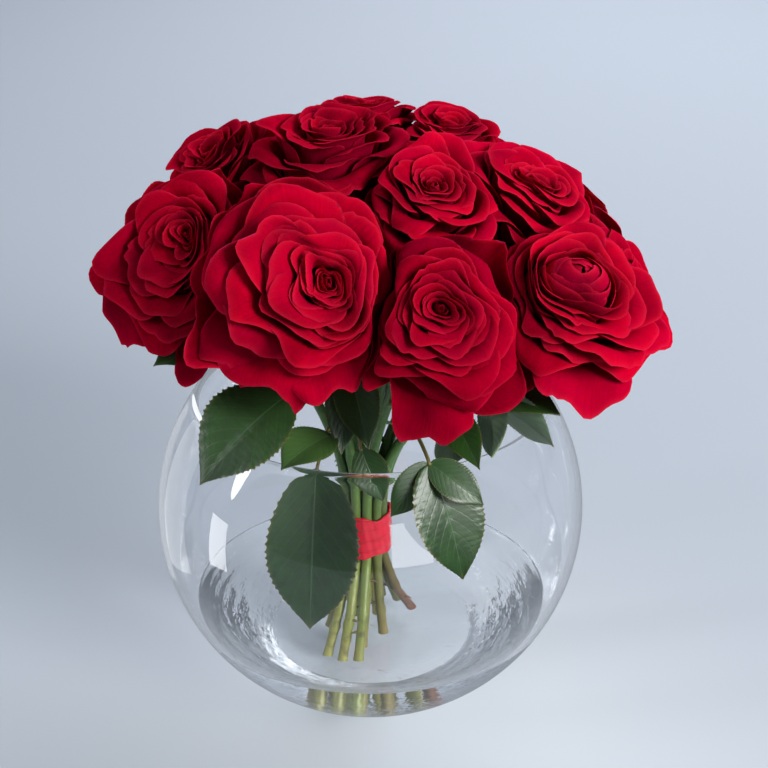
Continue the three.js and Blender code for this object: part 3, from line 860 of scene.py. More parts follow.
@dataclass
class TieBand:
    """Red tape wound round the stems, its turns overlapping by half."""

    x: float = -3.0
    y: float = 0.0
    bottom: float = 64.0
    top: float = 86.5
    inner_radius: float = 11.7
    thickness: float = 0.8
    turns: float = 4.0
    step: float = 0.5
    crease: float = 0.22
    slack: float = 0.9
    edge_inset: float = 0.35
    edge_height: float = 0.15
    sides: int = 96
    rows: int = 60

    def build(self) -> None:
        """Builds the band.

        The outer radius at angle a and height share h is R + step * saw(turns * h - a / 360°) +
        crease * (sin 11a + 0.6 sin(23a + 9h)), where saw falls from 1 to 0 once a turn. Both ends of
        the band are ragged, by slack * (sin(3a + 1) + sin(7a) / 2 - 1).
        """
        angle = round_angles(self.sides)
        share = np.linspace(0, 1, self.rows)[:, None]
        winding = np.mod(self.turns * share - angle / (2 * np.pi), 1.0)
        saw = np.minimum(1.0 - winding, winding * 12.0)
        folds = np.sin(11 * angle) + 0.6 * np.sin(23 * angle + 9 * share)
        outer = self.inner_radius + self.thickness + self.step * saw + self.crease * folds
        outer[[0, -1]] -= self.edge_inset
        inner = np.full((2, self.sides), self.inner_radius)
        height = self.bottom + (self.top - self.bottom) * share[:, 0]
        height[[0, -1]] += [self.edge_height, -self.edge_height]
        ragged = self.slack * (np.sin(3 * angle + 1.0) + 0.5 * np.sin(7 * angle)) - self.slack
        lean = np.where(height > (self.bottom + self.top) / 2, 1.0, -1.0)[:, None]
        height = height[:, None] + ragged * lean * (2 * share - 1) ** 4
        radius = np.concatenate([outer, inner, outer[:1]])
        heights = np.concatenate([height, height[[-1]], height[[0]], height[:1]])
        grid = np.stack([self.x + radius * np.cos(angle), self.y + radius * np.sin(angle), heights], axis=-1)
        points = grid[:-1].reshape(-1, 3)
        index = np.arange(len(points)).reshape(-1, self.sides)
        faces = MeshParts.quads(np.concatenate([index, index[:1]]), closed=True)[:, ::-1]
        parts = MeshParts()
        parts.add(points, faces)
        register(parts.build("red_tie", TapeFinish().material()), "tape", "tie_band")


def register(piece: bpy.types.Object, slot: str, *nodes: str) -> None:
    """Makes a piece ride on the body and stand for its nodes, whose imported parts are hidden.

    Args:
        piece: The piece.
        slot: Not used.
        nodes: The nodes that it stands for.
    """
    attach(piece, BODY)
    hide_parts(*nodes)
    log.info("%s: %d faces", piece.name, len(piece.data.polygons))


# The roses


class Heart(Enum):
    """How the middle of a bloom is folded: the number of lobes and how deep they are."""

    SPIRAL = (0, 0.0)
    OVAL = (2, 0.12)
    QUARTERED = (4, 0.08)
    FOLDED = (3, 0.10)


@dataclass(frozen=True)
class Rose:
    """One rose: where its bloom is and how it faces, its stem's place, and how it opens.

    Heading is degrees from the front towards +X, lift is degrees above level. The foot is where the
    stem stands on the floor. A guard is an outer petal that droops: its direction round the bloom in
    degrees, how much its lip hangs, and half its width as a share of the bloom's radius. The eye is
    where the middle of the spiral lies off the axis, as shares of the radius. The tone runs from a
    green stem foot, 0, through yellow and brown to maroon, 1. A bud of 1 means that the innermost
    petals are still a tall closed bud. A shade of 1 makes the whole bloom's red much deeper: painted
    shade for a bloom that lies in less light, and partly the rose's own deeper red.
    """

    key: str
    at: tuple
    radius: float
    heading: float
    lift: float
    inner_ring: bool
    slot: int
    foot: tuple
    turn: int
    guards: tuple = ()
    heart: Heart = Heart.SPIRAL
    eye: tuple = (0.0, 0.0)
    tone: float = 0.3
    petals: int = 44
    bud: float = 0.0
    shade: float = 0.0

    @property
    def axis(self) -> np.ndarray:
        """The direction that the bloom faces."""
        heading, lift = math.radians(self.heading), math.radians(self.lift)
        return np.array([math.sin(heading) * math.cos(lift), -math.cos(heading) * math.cos(lift),
                         math.sin(lift)])

    @property
    def right(self) -> np.ndarray:
        """The direction to the right of someone who faces the bloom."""
        heading = math.radians(self.heading)
        return np.array([math.cos(heading), math.sin(heading), 0.0])

    @property
    def up(self) -> np.ndarray:
        """The direction upwards of someone who faces the bloom."""
        return np.cross(self.axis, self.right)

    @property
    def depth(self) -> float:
        """The bloom's depth from its base to its middle petals' lips."""
        return 0.87 * self.radius

    @property
    def base(self) -> np.ndarray:
        """The point where the petals meet the hip."""
        return np.array(self.at, float) - 0.55 * self.depth * self.axis

    def placed(self, local: np.ndarray) -> np.ndarray:
        """Turns points in the bloom's own right, up and outward directions into the row frame."""
        turn = np.stack([self.right, self.up, self.axis])
        return self.base + local @ turn


@dataclass(frozen=True)
class Leaflet:
    """A leaflet: its tip, its width, the way its upper face looks, and how fresh its green is."""

    tip: tuple
    width: float
    face: tuple
    fresh: float = 0.0


@dataclass(frozen=True)
class Spray:
    """A leaf: the rose that it grows on, its height there, the end of its stalk and its leaflets."""

    rose: str
    height: float
    joint: tuple
    leaflets: tuple
    via: tuple | None = None


FRONT = (0.0, -1.0, 0.45)
SKY = (0.0, -0.25, 1.0)
BACK = (0.1, 0.95, 0.25)

# A rose's shade darkens its whole bloom: painted shade for a bloom in less light, and partly the rose's own
# deeper red.
ROSES = (
    Rose("01", (-26, -72, 226), 44, 5, 30, False, 0, (-13.3, -37), 1,
         ((230, 0.02, 0.5), (250, 0.10, 0.7), (286, 0.12, 0.5)), Heart.QUARTERED, (0.22, 0.02), 0.3, 62),
    Rose("02", (28, -78, 214), 37, 5, 28, False, 1, (-5.8, -37), -1, ((255, 0.34, 0.64),),
         Heart.SPIRAL, (-0.05, 0.06), 0.2, 56, shade=0.55),
    Rose("03", (87, -52, 211), 39, 25, 45, False, 2, (6, -14), 1, ((258, 0.06, 0.8),), Heart.OVAL,
         (-0.2, 0.1), 0.6, 50, 1.0),
    Rose("04", (106, -10, 199), 33, 70, 30, False, 3, (20, 8), -1, tone=0.95, shade=0.5),
    Rose("05", (66, -4, 239), 37, 52, 58, False, 4, (13, 16), 1, heart=Heart.OVAL, tone=0.3),
    Rose("06", (92, 62, 208), 34, 125, 35, False, 5, (5, 20), -1, heart=Heart.FOLDED, tone=0.4),
    Rose("07", (44, 98, 210), 34, 160, 35, False, 6, (-3, 20), 1, tone=0.1),
    Rose("08", (-18, 104, 208), 34, 190, 35, False, 7, (-11, 16), -1, heart=Heart.QUARTERED, tone=0.5),
    Rose("09", (-68, 76, 210), 34, 222, 35, False, 8, (-17, 7), 1, tone=0.2),
    Rose("10", (-65, 22, 243), 36, -70, 58, False, 9, (-20, -8), -1, heart=Heart.FOLDED, tone=0.5),
    Rose("11", (-81, -37, 224), 39, -30, 35, False, 10, (-20.5, -33), 1, ((228, 0.0, 0.6),),
         Heart.FOLDED, (0.24, 0.2), 0.35, 52, shade=0.3),
    Rose("12", (25, -33, 249), 33, 15, 55, True, 0, (-4, -26), 1, heart=Heart.OVAL, tone=0.5),
    Rose("13", (35, 46, 249), 31, 40, 75, True, 1, (3, 3), -1, tone=0.4, shade=0.25),
    Rose("14", (-5, 60, 252), 35, 180, 82, True, 2, (-8, 2), 1, heart=Heart.FOLDED, tone=0.2, shade=0.3),
    Rose("15", (-16, -5, 258), 42, -10, 82, True, 3, (-12, -22), -1, heart=Heart.QUARTERED, shade=0.55),
)

SPRAYS = (
    Spray("01", 180, (-33, -61, 174), (Leaflet((-71, -80, 141), 40, (-0.45, -0.65, 0.65), 0.12),)),
    Spray("01", 146, (-23, -56, 135), (Leaflet((-27, -56, 54), 39, FRONT),)),
    Spray("01", 160, (-16, -57, 152), (Leaflet((-37, -76, 146), 23, SKY, 0.5),)),
    Spray("02", 152, (25, -92, 157), (
        Leaflet((39, -101, 108), 30, (0.36, -0.85, 0.45)),
        Leaflet((9, -98, 136), 14, FRONT),
        Leaflet((47, -97, 141), 15, (0.3, -0.9, 0.5), 0.05)), (20, -62, 161)),
    Spray("02", 172, (36, -52, 159), (
        Leaflet((46, -85, 151), 15, FRONT, 0.1), Leaflet((33, -82, 150), 18, BACK))),
    Spray("03", 160, (49, -52, 168), (
        Leaflet((80, -68, 168), 23, SKY, 0.1),
        Leaflet((77, -76, 157), 19, BACK),
        Leaflet((51, -82, 155), 17, BACK))),
    Spray("11", 194, (-66, -36, 186), (Leaflet((-91, -54, 184), 20, (-0.2, -0.6, 0.8), 0.35),)),
    Spray("15", 186, (-9, -40, 178), (
        Leaflet((0, -67, 151), 19, FRONT, 0.15), Leaflet((-12, -62, 146), 17, FRONT, 0.05))),
    Spray("15", 140, (-4, -35, 134), (Leaflet((6, -42, 112), 16, FRONT, 0.1),)),
    Spray("04", 158, (67, 4, 165), (Leaflet((104, 10, 150), 24, (0.5, 0, 1)),)),
    Spray("06", 160, (55, 41, 166), (Leaflet((88, 62, 150), 26, (0.4, 0.3, 1)),)),
    Spray("07", 158, (24, 63, 168), (Leaflet((40, 100, 148), 27, (0.1, 0.6, 1)),)),
    Spray("08", 158, (-14, 65, 166), (Leaflet((-26, 102, 146), 26, (-0.1, 0.6, 1)),)),
    Spray("09", 160, (-45, 51, 168), (Leaflet((-72, 78, 150), 27, (-0.4, 0.4, 1)),)),
    Spray("10", 176, (-59, 14, 178), (Leaflet((-97, 20, 160), 26, (-0.5, 0.1, 1)),)),
)


# How a petal runs from its foot to its lip, by its rank from 0, the innermost, to 1: its angle from
# the bloom's axis at the foot, at the waist and at the rolled lip, in degrees, and its length as a
# share of the bloom's radius. The closed ones are those of a bud.
OPENED_PETALS = (
    {0: 16, 0.12: 34, 0.25: 42, 0.6: 66, 1: 86},
    {0: -4, 0.12: -12, 0.25: -12, 0.6: 2, 1: 42},
    {0: -46, 0.08: -36, 0.16: -10, 0.24: 30, 0.5: 84, 0.8: 116, 1: 144},
    {0: 0.66, 0.15: 0.74, 0.3: 0.86, 0.7: 1.1, 1: 1.22},
)
CLOSED_PETALS = (
    {0: 30, 0.25: 62, 0.45: 69, 1: 86},
    {0: 0, 0.25: 3, 0.45: 7, 1: 42},
    {0: -64, 0.2: -34, 0.3: 0, 0.42: 70, 0.8: 116, 1: 144},
    {0: 1.18, 0.15: 1.08, 0.3: 1.0, 0.45: 1.03, 1: 1.22},
)


class Chances(NamedTuple):
    """The small random differences between petals, each from -1 to 1."""

    swing: np.ndarray
    long_wave: np.ndarray
    mid_wave: np.ndarray
    short_wave: np.ndarray
    bend: np.ndarray
    curl: np.ndarray
    stretch: np.ndarray
    breadth: np.ndarray
    notch_place: np.ndarray
    notch_depth: np.ndarray
    dent_round: np.ndarray
    dent_along: np.ndarray
    sway: np.ndarray
    slope: np.ndarray


@dataclass
class Bloom:
    """The petals of one rose, from the rolled heart outwards, each a thin closed sheet."""

    rose: Rose
    thickness: float = 0.45
    rows: int = 17
    columns: int = 21
    spread: float = 1.1
    press: float = 0.80
    softness: float = 9.0
    fillers: int = 9
    filler_room: float = 1.45
    overlap: float = 1.6
    sway: float = 1.2
    foot_radius: float = 1.6
    tuck: float = 0.55
    oval: float = 0.035
    five_lobes: float = 0.02
    slow_wave: float = 0.055
    quick_wave: float = 0.022
    ring_wave: float = 0.022
    guard_width: float = 0.65

    def set_out(self, fillers: np.ndarray) -> tuple[np.ndarray, ...]:
        """Sets out the petals: by the golden angle, and guards and fillers in their own directions.

        Args:
            fillers: The directions round the bloom of the fillers, which come last.

        Returns:
            For each petal, shaped to go with its grid: its direction, 1 for a guard and 0 for the
            others, how much a guard droops, and half its width.
        """
        rose = self.rose
        count = rose.petals + len(fillers)
        middle = rose.turn * np.arange(count) * GOLDEN_ANGLE
        middle[rose.petals :] = fillers
        is_guard, droop, half_width = np.zeros((3, count))
        for back, (angle, hang, half) in enumerate(rose.guards, start=1):
            number = rose.petals - back
            middle[number] = math.radians(angle)
            is_guard[number], droop[number], half_width[number] = 1.0, hang, half * rose.radius
        return tuple(value[:, None, None] for value in (middle, is_guard, droop, half_width))

    @staticmethod
    def lips(
        u: np.ndarray, rank: np.ndarray, shell: np.ndarray, is_guard: np.ndarray, chance: Chances
    ) -> tuple[np.ndarray, np.ndarray]:
        """Works out how far each column of a petal reaches, as a share of the petal's length.

        A lip is rounded as 1 - rounding * (1 - sqrt(1 - u²)), waves as a sum of sines of u, slopes,
        has a notch in some petals and a small tip in the outer ones. A guard has a wave of its own.

        Args:
            u: Shares across the petal, from -1 to 1.
            rank: Each petal's rank, from 0, the innermost, to 1.
            shell: The rank, shifted across each petal so that it tucks under the next.
            is_guard: 1 for a guard and 0 for the others.
            chance: The petals' random differences.

        Returns:
            The waves, and the reach.
        """
        waves = (np.sin(2.3 * u + 3 * chance.long_wave) + 0.45 * np.sin(4.9 * u + 3 * chance.mid_wave)
                 + (0.10 + 0.34 * shell) * np.sin(9.1 * u + 3 * chance.short_wave))
        rounding = lerp(0.16, 0.36, rank) * (1 + 0.3 * chance.sway) * (1 - 0.36 * is_guard)
        ruffle = knots(shell, {0: 0.5, 0.35: 1.3, 1: 2.2}) * (1 - 0.3 * is_guard)
        notch = np.exp(-(((u - 0.7 * chance.notch_place) / 0.06) ** 2)) * smooth(3 * chance.notch_depth)
        tip = np.exp(-((u / 0.16) ** 2)) * smooth((shell - 0.5) / 0.3)
        guard_wave = 0.026 * np.sin(6.5 * u + 6 * chance.long_wave) + 0.26 * u * u * (1 - u * u)
        lip = 1 - rounding * (1 - np.sqrt(np.maximum(1 - u * u, 0)))
        lip = lip + 0.016 * waves * ruffle + 0.03 * chance.slope * u - 0.035 * notch
        return waves, lip + (1 - is_guard) * 0.025 * tip + is_guard * guard_wave

    def petal_grids(self, rng: np.random.Generator) -> tuple[np.ndarray, np.ndarray]:
        """Works out every petal's surface in the bloom's own directions.

        A petal's profile starts at the hip and is walked in even steps, each in a direction whose
        angle from the axis eases from a value at the foot to one at the middle and one at the lip.
        The three values and the length depend on the petal's rank: the inner petals stand and
        close, the outer ones spread out and roll back. A column across the petal walks the same
        profile to its own length, and stands at an angle round the axis of its distance from the
        petal's middle over the radius there.

        Args:
            rng: The source of the small differences between petals.

        Returns:
            Points as petals, rows along, columns across and x, y, z, and the place of each point.
        """
        rose, size = self.rose, self.rose.radius
        fillers = self.filler_angles()
        index = np.arange(rose.petals + len(fillers))[:, None, None]
        rank = np.minimum((index + 0.5) / rose.petals, 1.0)
        is_filler = index >= rose.petals
        chance = Chances(*rng.uniform(-1, 1, (len(Chances._fields), *index.shape)))
        middle, is_guard, droop, guard_half = self.set_out(fillers)
        # Shares across, from -1 to 1, and along, closer together towards the rim.
        t = np.linspace(-1, 1, self.columns)
        u = (0.6 * np.sin(np.pi / 2 * t) + 0.4 * t)[None, None, :]
        v = (1 - (1 - np.linspace(0, 1, self.rows)) ** 1.15)[None, :, None]
        shell = np.clip(rank + rose.turn * self.tuck * u / rose.petals, 0, 1.02)
        waves, lip = self.lips(u, rank, shell, is_guard, chance)
        along = v * lip

        def by_kind(inner: Number, guard: Number, filler: Number) -> np.ndarray:
            """Returns the value of each petal's kind."""
            return np.where(is_filler, filler, np.where(is_guard > 0, guard, inner))

        # The profile: the direction at each point, in degrees, walked into radius and height.
        foot, waist, roll, length = (
            lerp(knots(shell, opened), knots(shell, closed), rose.bud)
            for opened, closed in zip(OPENED_PETALS, CLOSED_PETALS))
        outward = knots(shell, {0: 0.1, 0.3: 0.6, 1: 1.0})
        foot = by_kind(foot, 78, 88)
        waist = by_kind(waist + 3 * chance.bend, 62 + 26 * droop, 76 + 8 * chance.bend)
        roll = by_kind(roll + outward * (12 * waves + 18 * u * u + 22 * chance.curl),
                       132 + 22 * droop + 12 * waves, 60 + 30 * chance.curl + 14 * waves)
        length = size * by_kind(length, 1.22 + 0.42 * droop, 1.38)
        length = length * (1 + knots(shell, {0: 0.03, 0.4: 0.07}) * chance.stretch)
        start = knots(shell, {0: 0.55, 0.3: 0.72, 0.7: 0.70, 1: 0.56})
        fold = smooth((along - start) / (1.02 - start)) ** 1.2
        angle = np.radians(lerp(lerp(foot, waist, smooth(along / 0.55)), roll, fold))
        between = (angle[:, 1:] + angle[:, :-1]) / 2
        step = length * np.diff(along, axis=1)
        radius, height = (
            np.pad(np.cumsum(way(between) * step, axis=1), ((0, 0), (1, 0), (0, 0)))
            for way in (np.sin, np.cos))
        radius = np.maximum(self.foot_radius + radius, 0.35 + 6.0 * rank * along)
        height = height + lerp(8.0, 1.5, np.clip(shell, 0, 1)) * size / 42 - 0.8 * is_filler

        # The width, wound round the axis, and the slow dents that make no two petals alike.
        half_width = size * knots(shell, {0: 0.34, 0.3: 0.52, 0.7: 0.60, 1: 0.66})
        half_width = np.where(is_guard > 0, guard_half, half_width)
        half_width = half_width * (0.22 + 0.78 * smooth(along / 0.62)) * (1 + 0.12 * chance.breadth)
        widest = knots(shell, {0: 2.2, 0.4: 1.5, 1: 1.1})
        turn = middle + 0.16 * chance.swing + u * widest * np.tanh(half_width / (radius * widest))
        radius = radius + 0.02 * size * np.abs(u) ** 3 * smooth(along) * shell
        side_wave = np.sin(3.1 * u + 5 * chance.sway) * smooth((along - 0.35) / 0.5)
        radius = radius + 0.012 * size * side_wave * knots(shell, {0: 0.2, 0.3: 1.0, 1: 1.6})
        dent = (np.sin(3.4 * u + 5 * chance.dent_round + 2.6 * along)
                * np.sin(4.2 * along + 4 * chance.dent_along))
        height = height + 0.016 * size * dent * smooth(along / 0.5) * (0.4 + shell)
        grid = np.stack([radius * np.cos(turn), radius * np.sin(turn), height], axis=-1)
        place = np.stack(np.broadcast_arrays(u, v, rank)[:2], axis=-1)
        return grid, place

    def filler_angles(self) -> np.ndarray:
        """Looks round the bloom for borders that are near, where petals have to fill the gap.

        Returns:
            The directions round the bloom of the petals that fill it.
        """
        turn = round_angles(self.fillers)
        way = np.cos(turn)[:, None] * self.rose.right + np.sin(turn)[:, None] * self.rose.up
        towards, distance = self.borders()
        facing = np.maximum(way @ towards.T, 0.05)
        return turn[(distance / facing).min(axis=1) < self.filler_room * self.rose.radius]

    def borders(self) -> tuple[np.ndarray, np.ndarray]:
        """Works out the border with each other bloom: where both spheres have the same power.

        Returns:
            The directions of the other blooms, and how far off the flat border with each is.
        """
        rose = self.rose
        others = [other for other in ROSES if other is not rose]
        towards = np.array([other.at for other in others], float) - np.array(rose.at, float)
        apart = np.linalg.norm(towards, axis=1)
        sizes = np.array([other.radius for other in others])
        return towards / apart[:, None], (apart**2 + rose.radius**2 - sizes**2) / (2 * apart)

    def shaped(self, local: np.ndarray, rng: np.random.Generator) -> np.ndarray:
        """Bends the whole bloom, all its petals alike, so that they still lie in each other.

        The radius is multiplied by 1 + depth * cos(lobes * angle + twist * r) near the heart, and
        the heart is moved to the eye. Waves of sin(k * place + phase), each way across the bloom,
        bend the rings of petals, and others push them in and out. Towards a guard the bloom is
        pressed in a little.

        Args:
            local: Points in the bloom's own directions.
            rng: The source of the waves' phases.

        Returns:
            The bent points.
        """
        rose = self.rose
        lobes, depth = rose.heart.value
        phase = rng.uniform(0, 2 * np.pi, 6)
        flat = np.linalg.norm(local[..., :2], axis=-1) / rose.radius
        turn = np.arctan2(local[..., 1], local[..., 0])
        raised = smooth(local[..., 2] / (0.6 * rose.depth))
        near = smooth((0.85 - flat) / 0.5) * smooth(local[..., 2] / (0.5 * rose.depth))
        stretch = 1 + depth * np.cos(lobes * turn + phase[0] + 2.5 * rose.turn * flat) * near
        stretch = (stretch + self.oval * np.cos(2 * turn + phase[1])
                   + self.five_lobes * np.cos(5 * turn + phase[2]))
        bent = local.copy()
        bent[..., :2] *= stretch[..., None]
        across, upward = local[..., 0] / rose.radius, local[..., 1] / rose.radius
        lifted = rose.radius * raised
        wander = rng.uniform(0, 2 * np.pi, 4)
        for way, (along, beside, sign) in enumerate(((upward, across, 1), (across, upward, -1))):
            slow = np.sin(4.2 * along + wander[2 * way] + sign * beside)
            quick = np.sin(10 * along + wander[2 * way + 1] - 3 * sign * beside)
            bent[..., way] += lifted * (self.slow_wave * slow + self.quick_wave * quick)
        core = smooth((0.9 - flat) / 0.9) * raised
        bent[..., :2] += core[..., None] * np.array(rose.eye) * rose.radius
        for angle, hang, _ in rose.guards:
            away = np.arccos(np.clip(np.cos(turn - math.radians(angle)), -1, 1))
            dip = np.exp(-((away / self.guard_width) ** 2)) * smooth((flat - 0.35) / 0.5)
            dip = dip * smooth(local[..., 2] / 12)
            bent[..., :2] *= (1 - (0.10 + 0.16 * hang) * dip)[..., None]
        wave = np.sin(3 * turn + phase[3] + 4 * flat) + 0.7 * np.sin(7 * turn + phase[4] - 5 * flat)
        bent[..., 2] += self.ring_wave * rose.radius * wave * smooth(flat)
        return bent

    def kept_inside(self, points: np.ndarray) -> np.ndarray:
        """Draws the points in so that the bloom ends at the border with each neighbour.

        All points in one direction from the bloom's centre are drawn in alike, by the room there
        over the bloom's natural reach, which is widest round its side. A border is a plane with
        slow waves, the same for both blooms. The fillers reach a little over it.

        Args:
            points: Points in the row frame, petal by petal.

        Returns:
            The points drawn in.
        """
        rose = self.rose
        centre = np.array(rose.at, float)
        towards, distance = self.borders()
        margin = np.full(len(points), GAP / 2 + self.thickness / 2)
        margin[rose.petals :] = -self.overlap
        offset = points - centre
        length = np.maximum(np.linalg.norm(offset, axis=-1), 1e-6)
        way = offset / length[..., None]
        facing = np.maximum(way @ towards.T, 0.05)
        crossing = centre + way[..., None, :] * (distance / facing)[..., None]
        sway = np.sin(crossing @ np.array([[0.16, 0.05, 0.21], [-0.09, 0.24, 0.11]]).T).sum(axis=-1)
        side = np.array([1.0 if rose.key < other.key else -1.0 for other in ROSES if other is not rose])
        distance = distance + self.sway * side * sway - margin[:, None, None, None]
        room = (distance / facing).min(axis=-1)
        lean = way @ rose.axis
        reach = rose.radius * np.hypot(self.spread * np.sqrt(np.maximum(1 - lean**2, 0)), 0.55 * lean)
        drawn = length * np.minimum(1, room / (self.press * reach))
        crowding = np.minimum(drawn / room, 3.0)
        drawn = drawn / (1 + crowding**self.softness) ** (1 / self.softness)
        return centre + way * drawn[..., None]

    def build(self, material: bpy.types.Material) -> None:
        """Builds the bloom.

        Args:
            material: The petals' finish.
        """
        rng = np.random.default_rng(int(self.rose.key))
        grids, places = self.petal_grids(rng)
        grids = self.kept_inside(self.rose.placed(self.shaped(grids, rng)))
        parts = MeshParts()
        for grid, place, chance in zip(grids, places, rng.uniform(0, 1, len(grids))):
            # The tint carries the rose's shade, painted shade over its whole bloom.
            parts.add_sheet(grid, place, self.thickness / 2, (self.rose.shade, chance))
        bloom = parts.build(f"rose_{self.rose.key}_petals", material)
        register(bloom, "petals", f"rose_{self.rose.key}_bloom")


@dataclass
class Stem:
    """A rose's stem, from its cut foot on the floor through the tie to the hip and sepals."""

    rose: Rose
    bowl: Bowl
    tie: TieBand
    radius: float = 2.3
    foot_clearance: float = 2.6
    bend: float = 0.42
    inner_ring: tuple = (3.5, -60.0, 90.0)
    outer_ring: tuple = (8.8, -115.0, 360.0 / 11.0)
    cut_flare: float = 0.12
    node_gaps: tuple = (28, 52)
    node_count: int = 5
    node_size: float = 0.55
    node_reach: float = 2.2
    hip_height: float = 10.0
    hip_radius: float = 4.6
    neck: float = 26.0
    tie_room: float = 1.0
    points_below: int = 22
    points_in_tie: int = 10
    curve_steps: int = 44
    points_in_hip: int = 8
    easing: int = 3
    sides: int = 14
    sepal_count: int = 5
    sepal_width: float = 5.5
    sepal_fold: float = 0.25
    sepal_half_thickness: float = 0.35
    prickles_above: int = 3
    prickles_below: int = 1
    prickle_radii: tuple = (1.25, 0.08)

    def tie_place(self) -> tuple[float, float]:
        """Finds the stem's slot in the inner or the outer ring of the bunch.

        Returns:
            The X and Y at which it passes through the tie.
        """
        distance, start, step = self.inner_ring if self.rose.inner_ring else self.outer_ring
        angle = math.radians(start + step * self.rose.slot)
        return self.tie.x + distance * math.cos(angle), self.tie.y + distance * math.sin(angle)

    def path(self) -> np.ndarray:
        """Walks the stem: straight from its foot to the tie, then in a curve to the hip.

        Returns:
            Points from the foot to the bloom's base, about 3 mm apart.
        """
        x, y = self.tie_place()
        axis = self.rose.axis
        hip = self.rose.base - self.hip_height * axis
        foot = np.array([*self.rose.foot, self.bowl.floor + self.foot_clearance])
        lower = np.array([x, y, self.tie.bottom - self.tie_room])
        upper = np.array([x, y, self.tie.top + self.tie_room])
        reach = self.bend * np.linalg.norm(hip - np.array([x, y, self.tie.top]))
        straight = np.linspace(foot, lower, self.points_below)
        held = np.linspace(lower, upper, self.points_in_tie)
        curve = bezier([upper, upper + [0, 0, reach], hip - self.neck * axis, hip], self.curve_steps)
        top = np.linspace(hip, self.rose.base - GAP * axis, self.points_in_hip)
        return eased(np.concatenate([straight, held[1:], curve[1:], top[1:]]), self.easing)

    def radii(self, path: np.ndarray, rng: np.random.Generator) -> np.ndarray:
        """Works out the stem's radius along its path, with swollen nodes, a wide hip and a neck.

        Args:
            path: Points along the stem.
            rng: The source of the nodes' places.

        Returns:
            The radius at each point.
        """
        walk = walked(path)
        from_top = walk[-1] - walk
        size = self.radius * (1 + self.cut_flare * np.exp(-walk / 2.5))
        for place in np.cumsum(rng.uniform(*self.node_gaps, self.node_count)) - 12:
            size = size + self.node_size * np.exp(-(((walk - place) / self.node_reach) ** 2))
        hip = np.exp(-(((from_top - 5.5) / 4.6) ** 4))
        size = lerp(size, self.hip_radius, hip)
        return np.where(from_top < 0.6, size * 0.9, size)

    def sepal(self, angle: float, rng: np.random.Generator) -> np.ndarray:
        """Works out one sepal: a narrow strip that leaves the hip's rim, bends back and tapers.

        Its spine is a cubic curve in distance from the axis and height, its half width is
        w * (1 - t)^0.8 * (0.55 + 1.3 t) and it is folded a little along its middle.

        Args:
            angle: The sepal's direction round the bloom.
            rng: The source of small differences.

        Returns:
            Points as rows along, columns across and x, y, z, in the bloom's own directions.
        """
        lift, bend = rng.uniform(-2, 3), rng.uniform(-3, 3)
        ends = [[2.6, -1.2, 0], [10, -1.0 + lift, 0], [13.5, -8 + lift, 0], [12 + bend, -19, bend]]
        spine = bezier(ends, 18)
        t = np.linspace(0, 1, len(spine))[:, None]
        half = np.maximum(self.sepal_width / 2 * (1 - t) ** 0.8 * (0.55 + 1.3 * t), 0.12)
        across = np.linspace(-1, 1, 7)
        fold = self.sepal_fold * np.abs(across) * half
        out, height, side = spine[:, :1] - fold, spine[:, 1:2] + fold, spine[:, 2:] + across * half
        return np.stack([out * math.cos(angle) - side * math.sin(angle),
                         out * math.sin(angle) + side * math.cos(angle), height], axis=-1)

    def build(self, material: bpy.types.Material) -> None:
        """Builds the stem with its hip, sepals and a few prickles.

        Args:
            material: The stems' finish.
        """
        rng = np.random.default_rng(100 + int(self.rose.key))
        path = self.path()
        parts = MeshParts()
        tint = (self.rose.tone, rng.uniform())
        side = unit(np.cross(self.rose.axis, [0.0, 0.0, 1.0]))
        parts.add_tube(path, self.radii(path, rng), side, self.sides, tint)
        for index in range(self.sepal_count):
            angle = 2 * np.pi * (index + 0.3 * rng.uniform(-1, 1)) / self.sepal_count
            grid = self.rose.placed(self.sepal(angle, rng))
            place = np.stack(np.meshgrid(np.linspace(-1, 1, grid.shape[1]),
                                         np.linspace(0, 1, grid.shape[0])), axis=-1)
            parts.add_sheet(grid, place, self.sepal_half_thickness, (0.0, 0.0))
        self.add_prickles(parts, path, rng, tint)
        stem = parts.build(f"rose_{self.rose.key}_stalk", material)
        register(stem, "leaves", f"rose_{self.rose.key}_stem")

    def add_prickles(
        self, parts: MeshParts, path: np.ndarray, rng: np.random.Generator, tint: tuple
    ) -> None:
        """Adds a few short prickles that bend down, each a tapered tube sunk in the bark.

        Args:
            parts: The stem's shells.
            path: Points along the stem.
            rng: The source of their places.
            tint: The stem's tint.
        """
        above = np.flatnonzero(path[:, 2] > self.tie.top + 18)
        below = np.flatnonzero((path[:, 2] < self.tie.bottom - 6) & (path[:, 2] > self.bowl.floor + 18))
        picks = np.concatenate([rng.choice(above[:-14], self.prickles_above, replace=False),
                                rng.choice(below, self.prickles_below)])
        for pick in picks:
            along = unit(path[pick + 1] - path[pick - 1])
            turn = rng.uniform(0, 2 * np.pi)
            right = unit(np.cross(along, [0.3, 1.0, 0.2]))
            out = math.cos(turn) * right + math.sin(turn) * np.cross(along, right)
            root = path[pick] + out * (self.radius - 0.7)
            spine = bezier([root, root + 1.6 * out, root + 3.0 * out - 0.2 * along,
                            root + 4.0 * out - 1.4 * along], 6)
            size = np.linspace(*self.prickle_radii, len(spine))
            parts.add_tube(spine, size, along, 6, (min(1.0, tint[0] + 0.5), tint[1]))


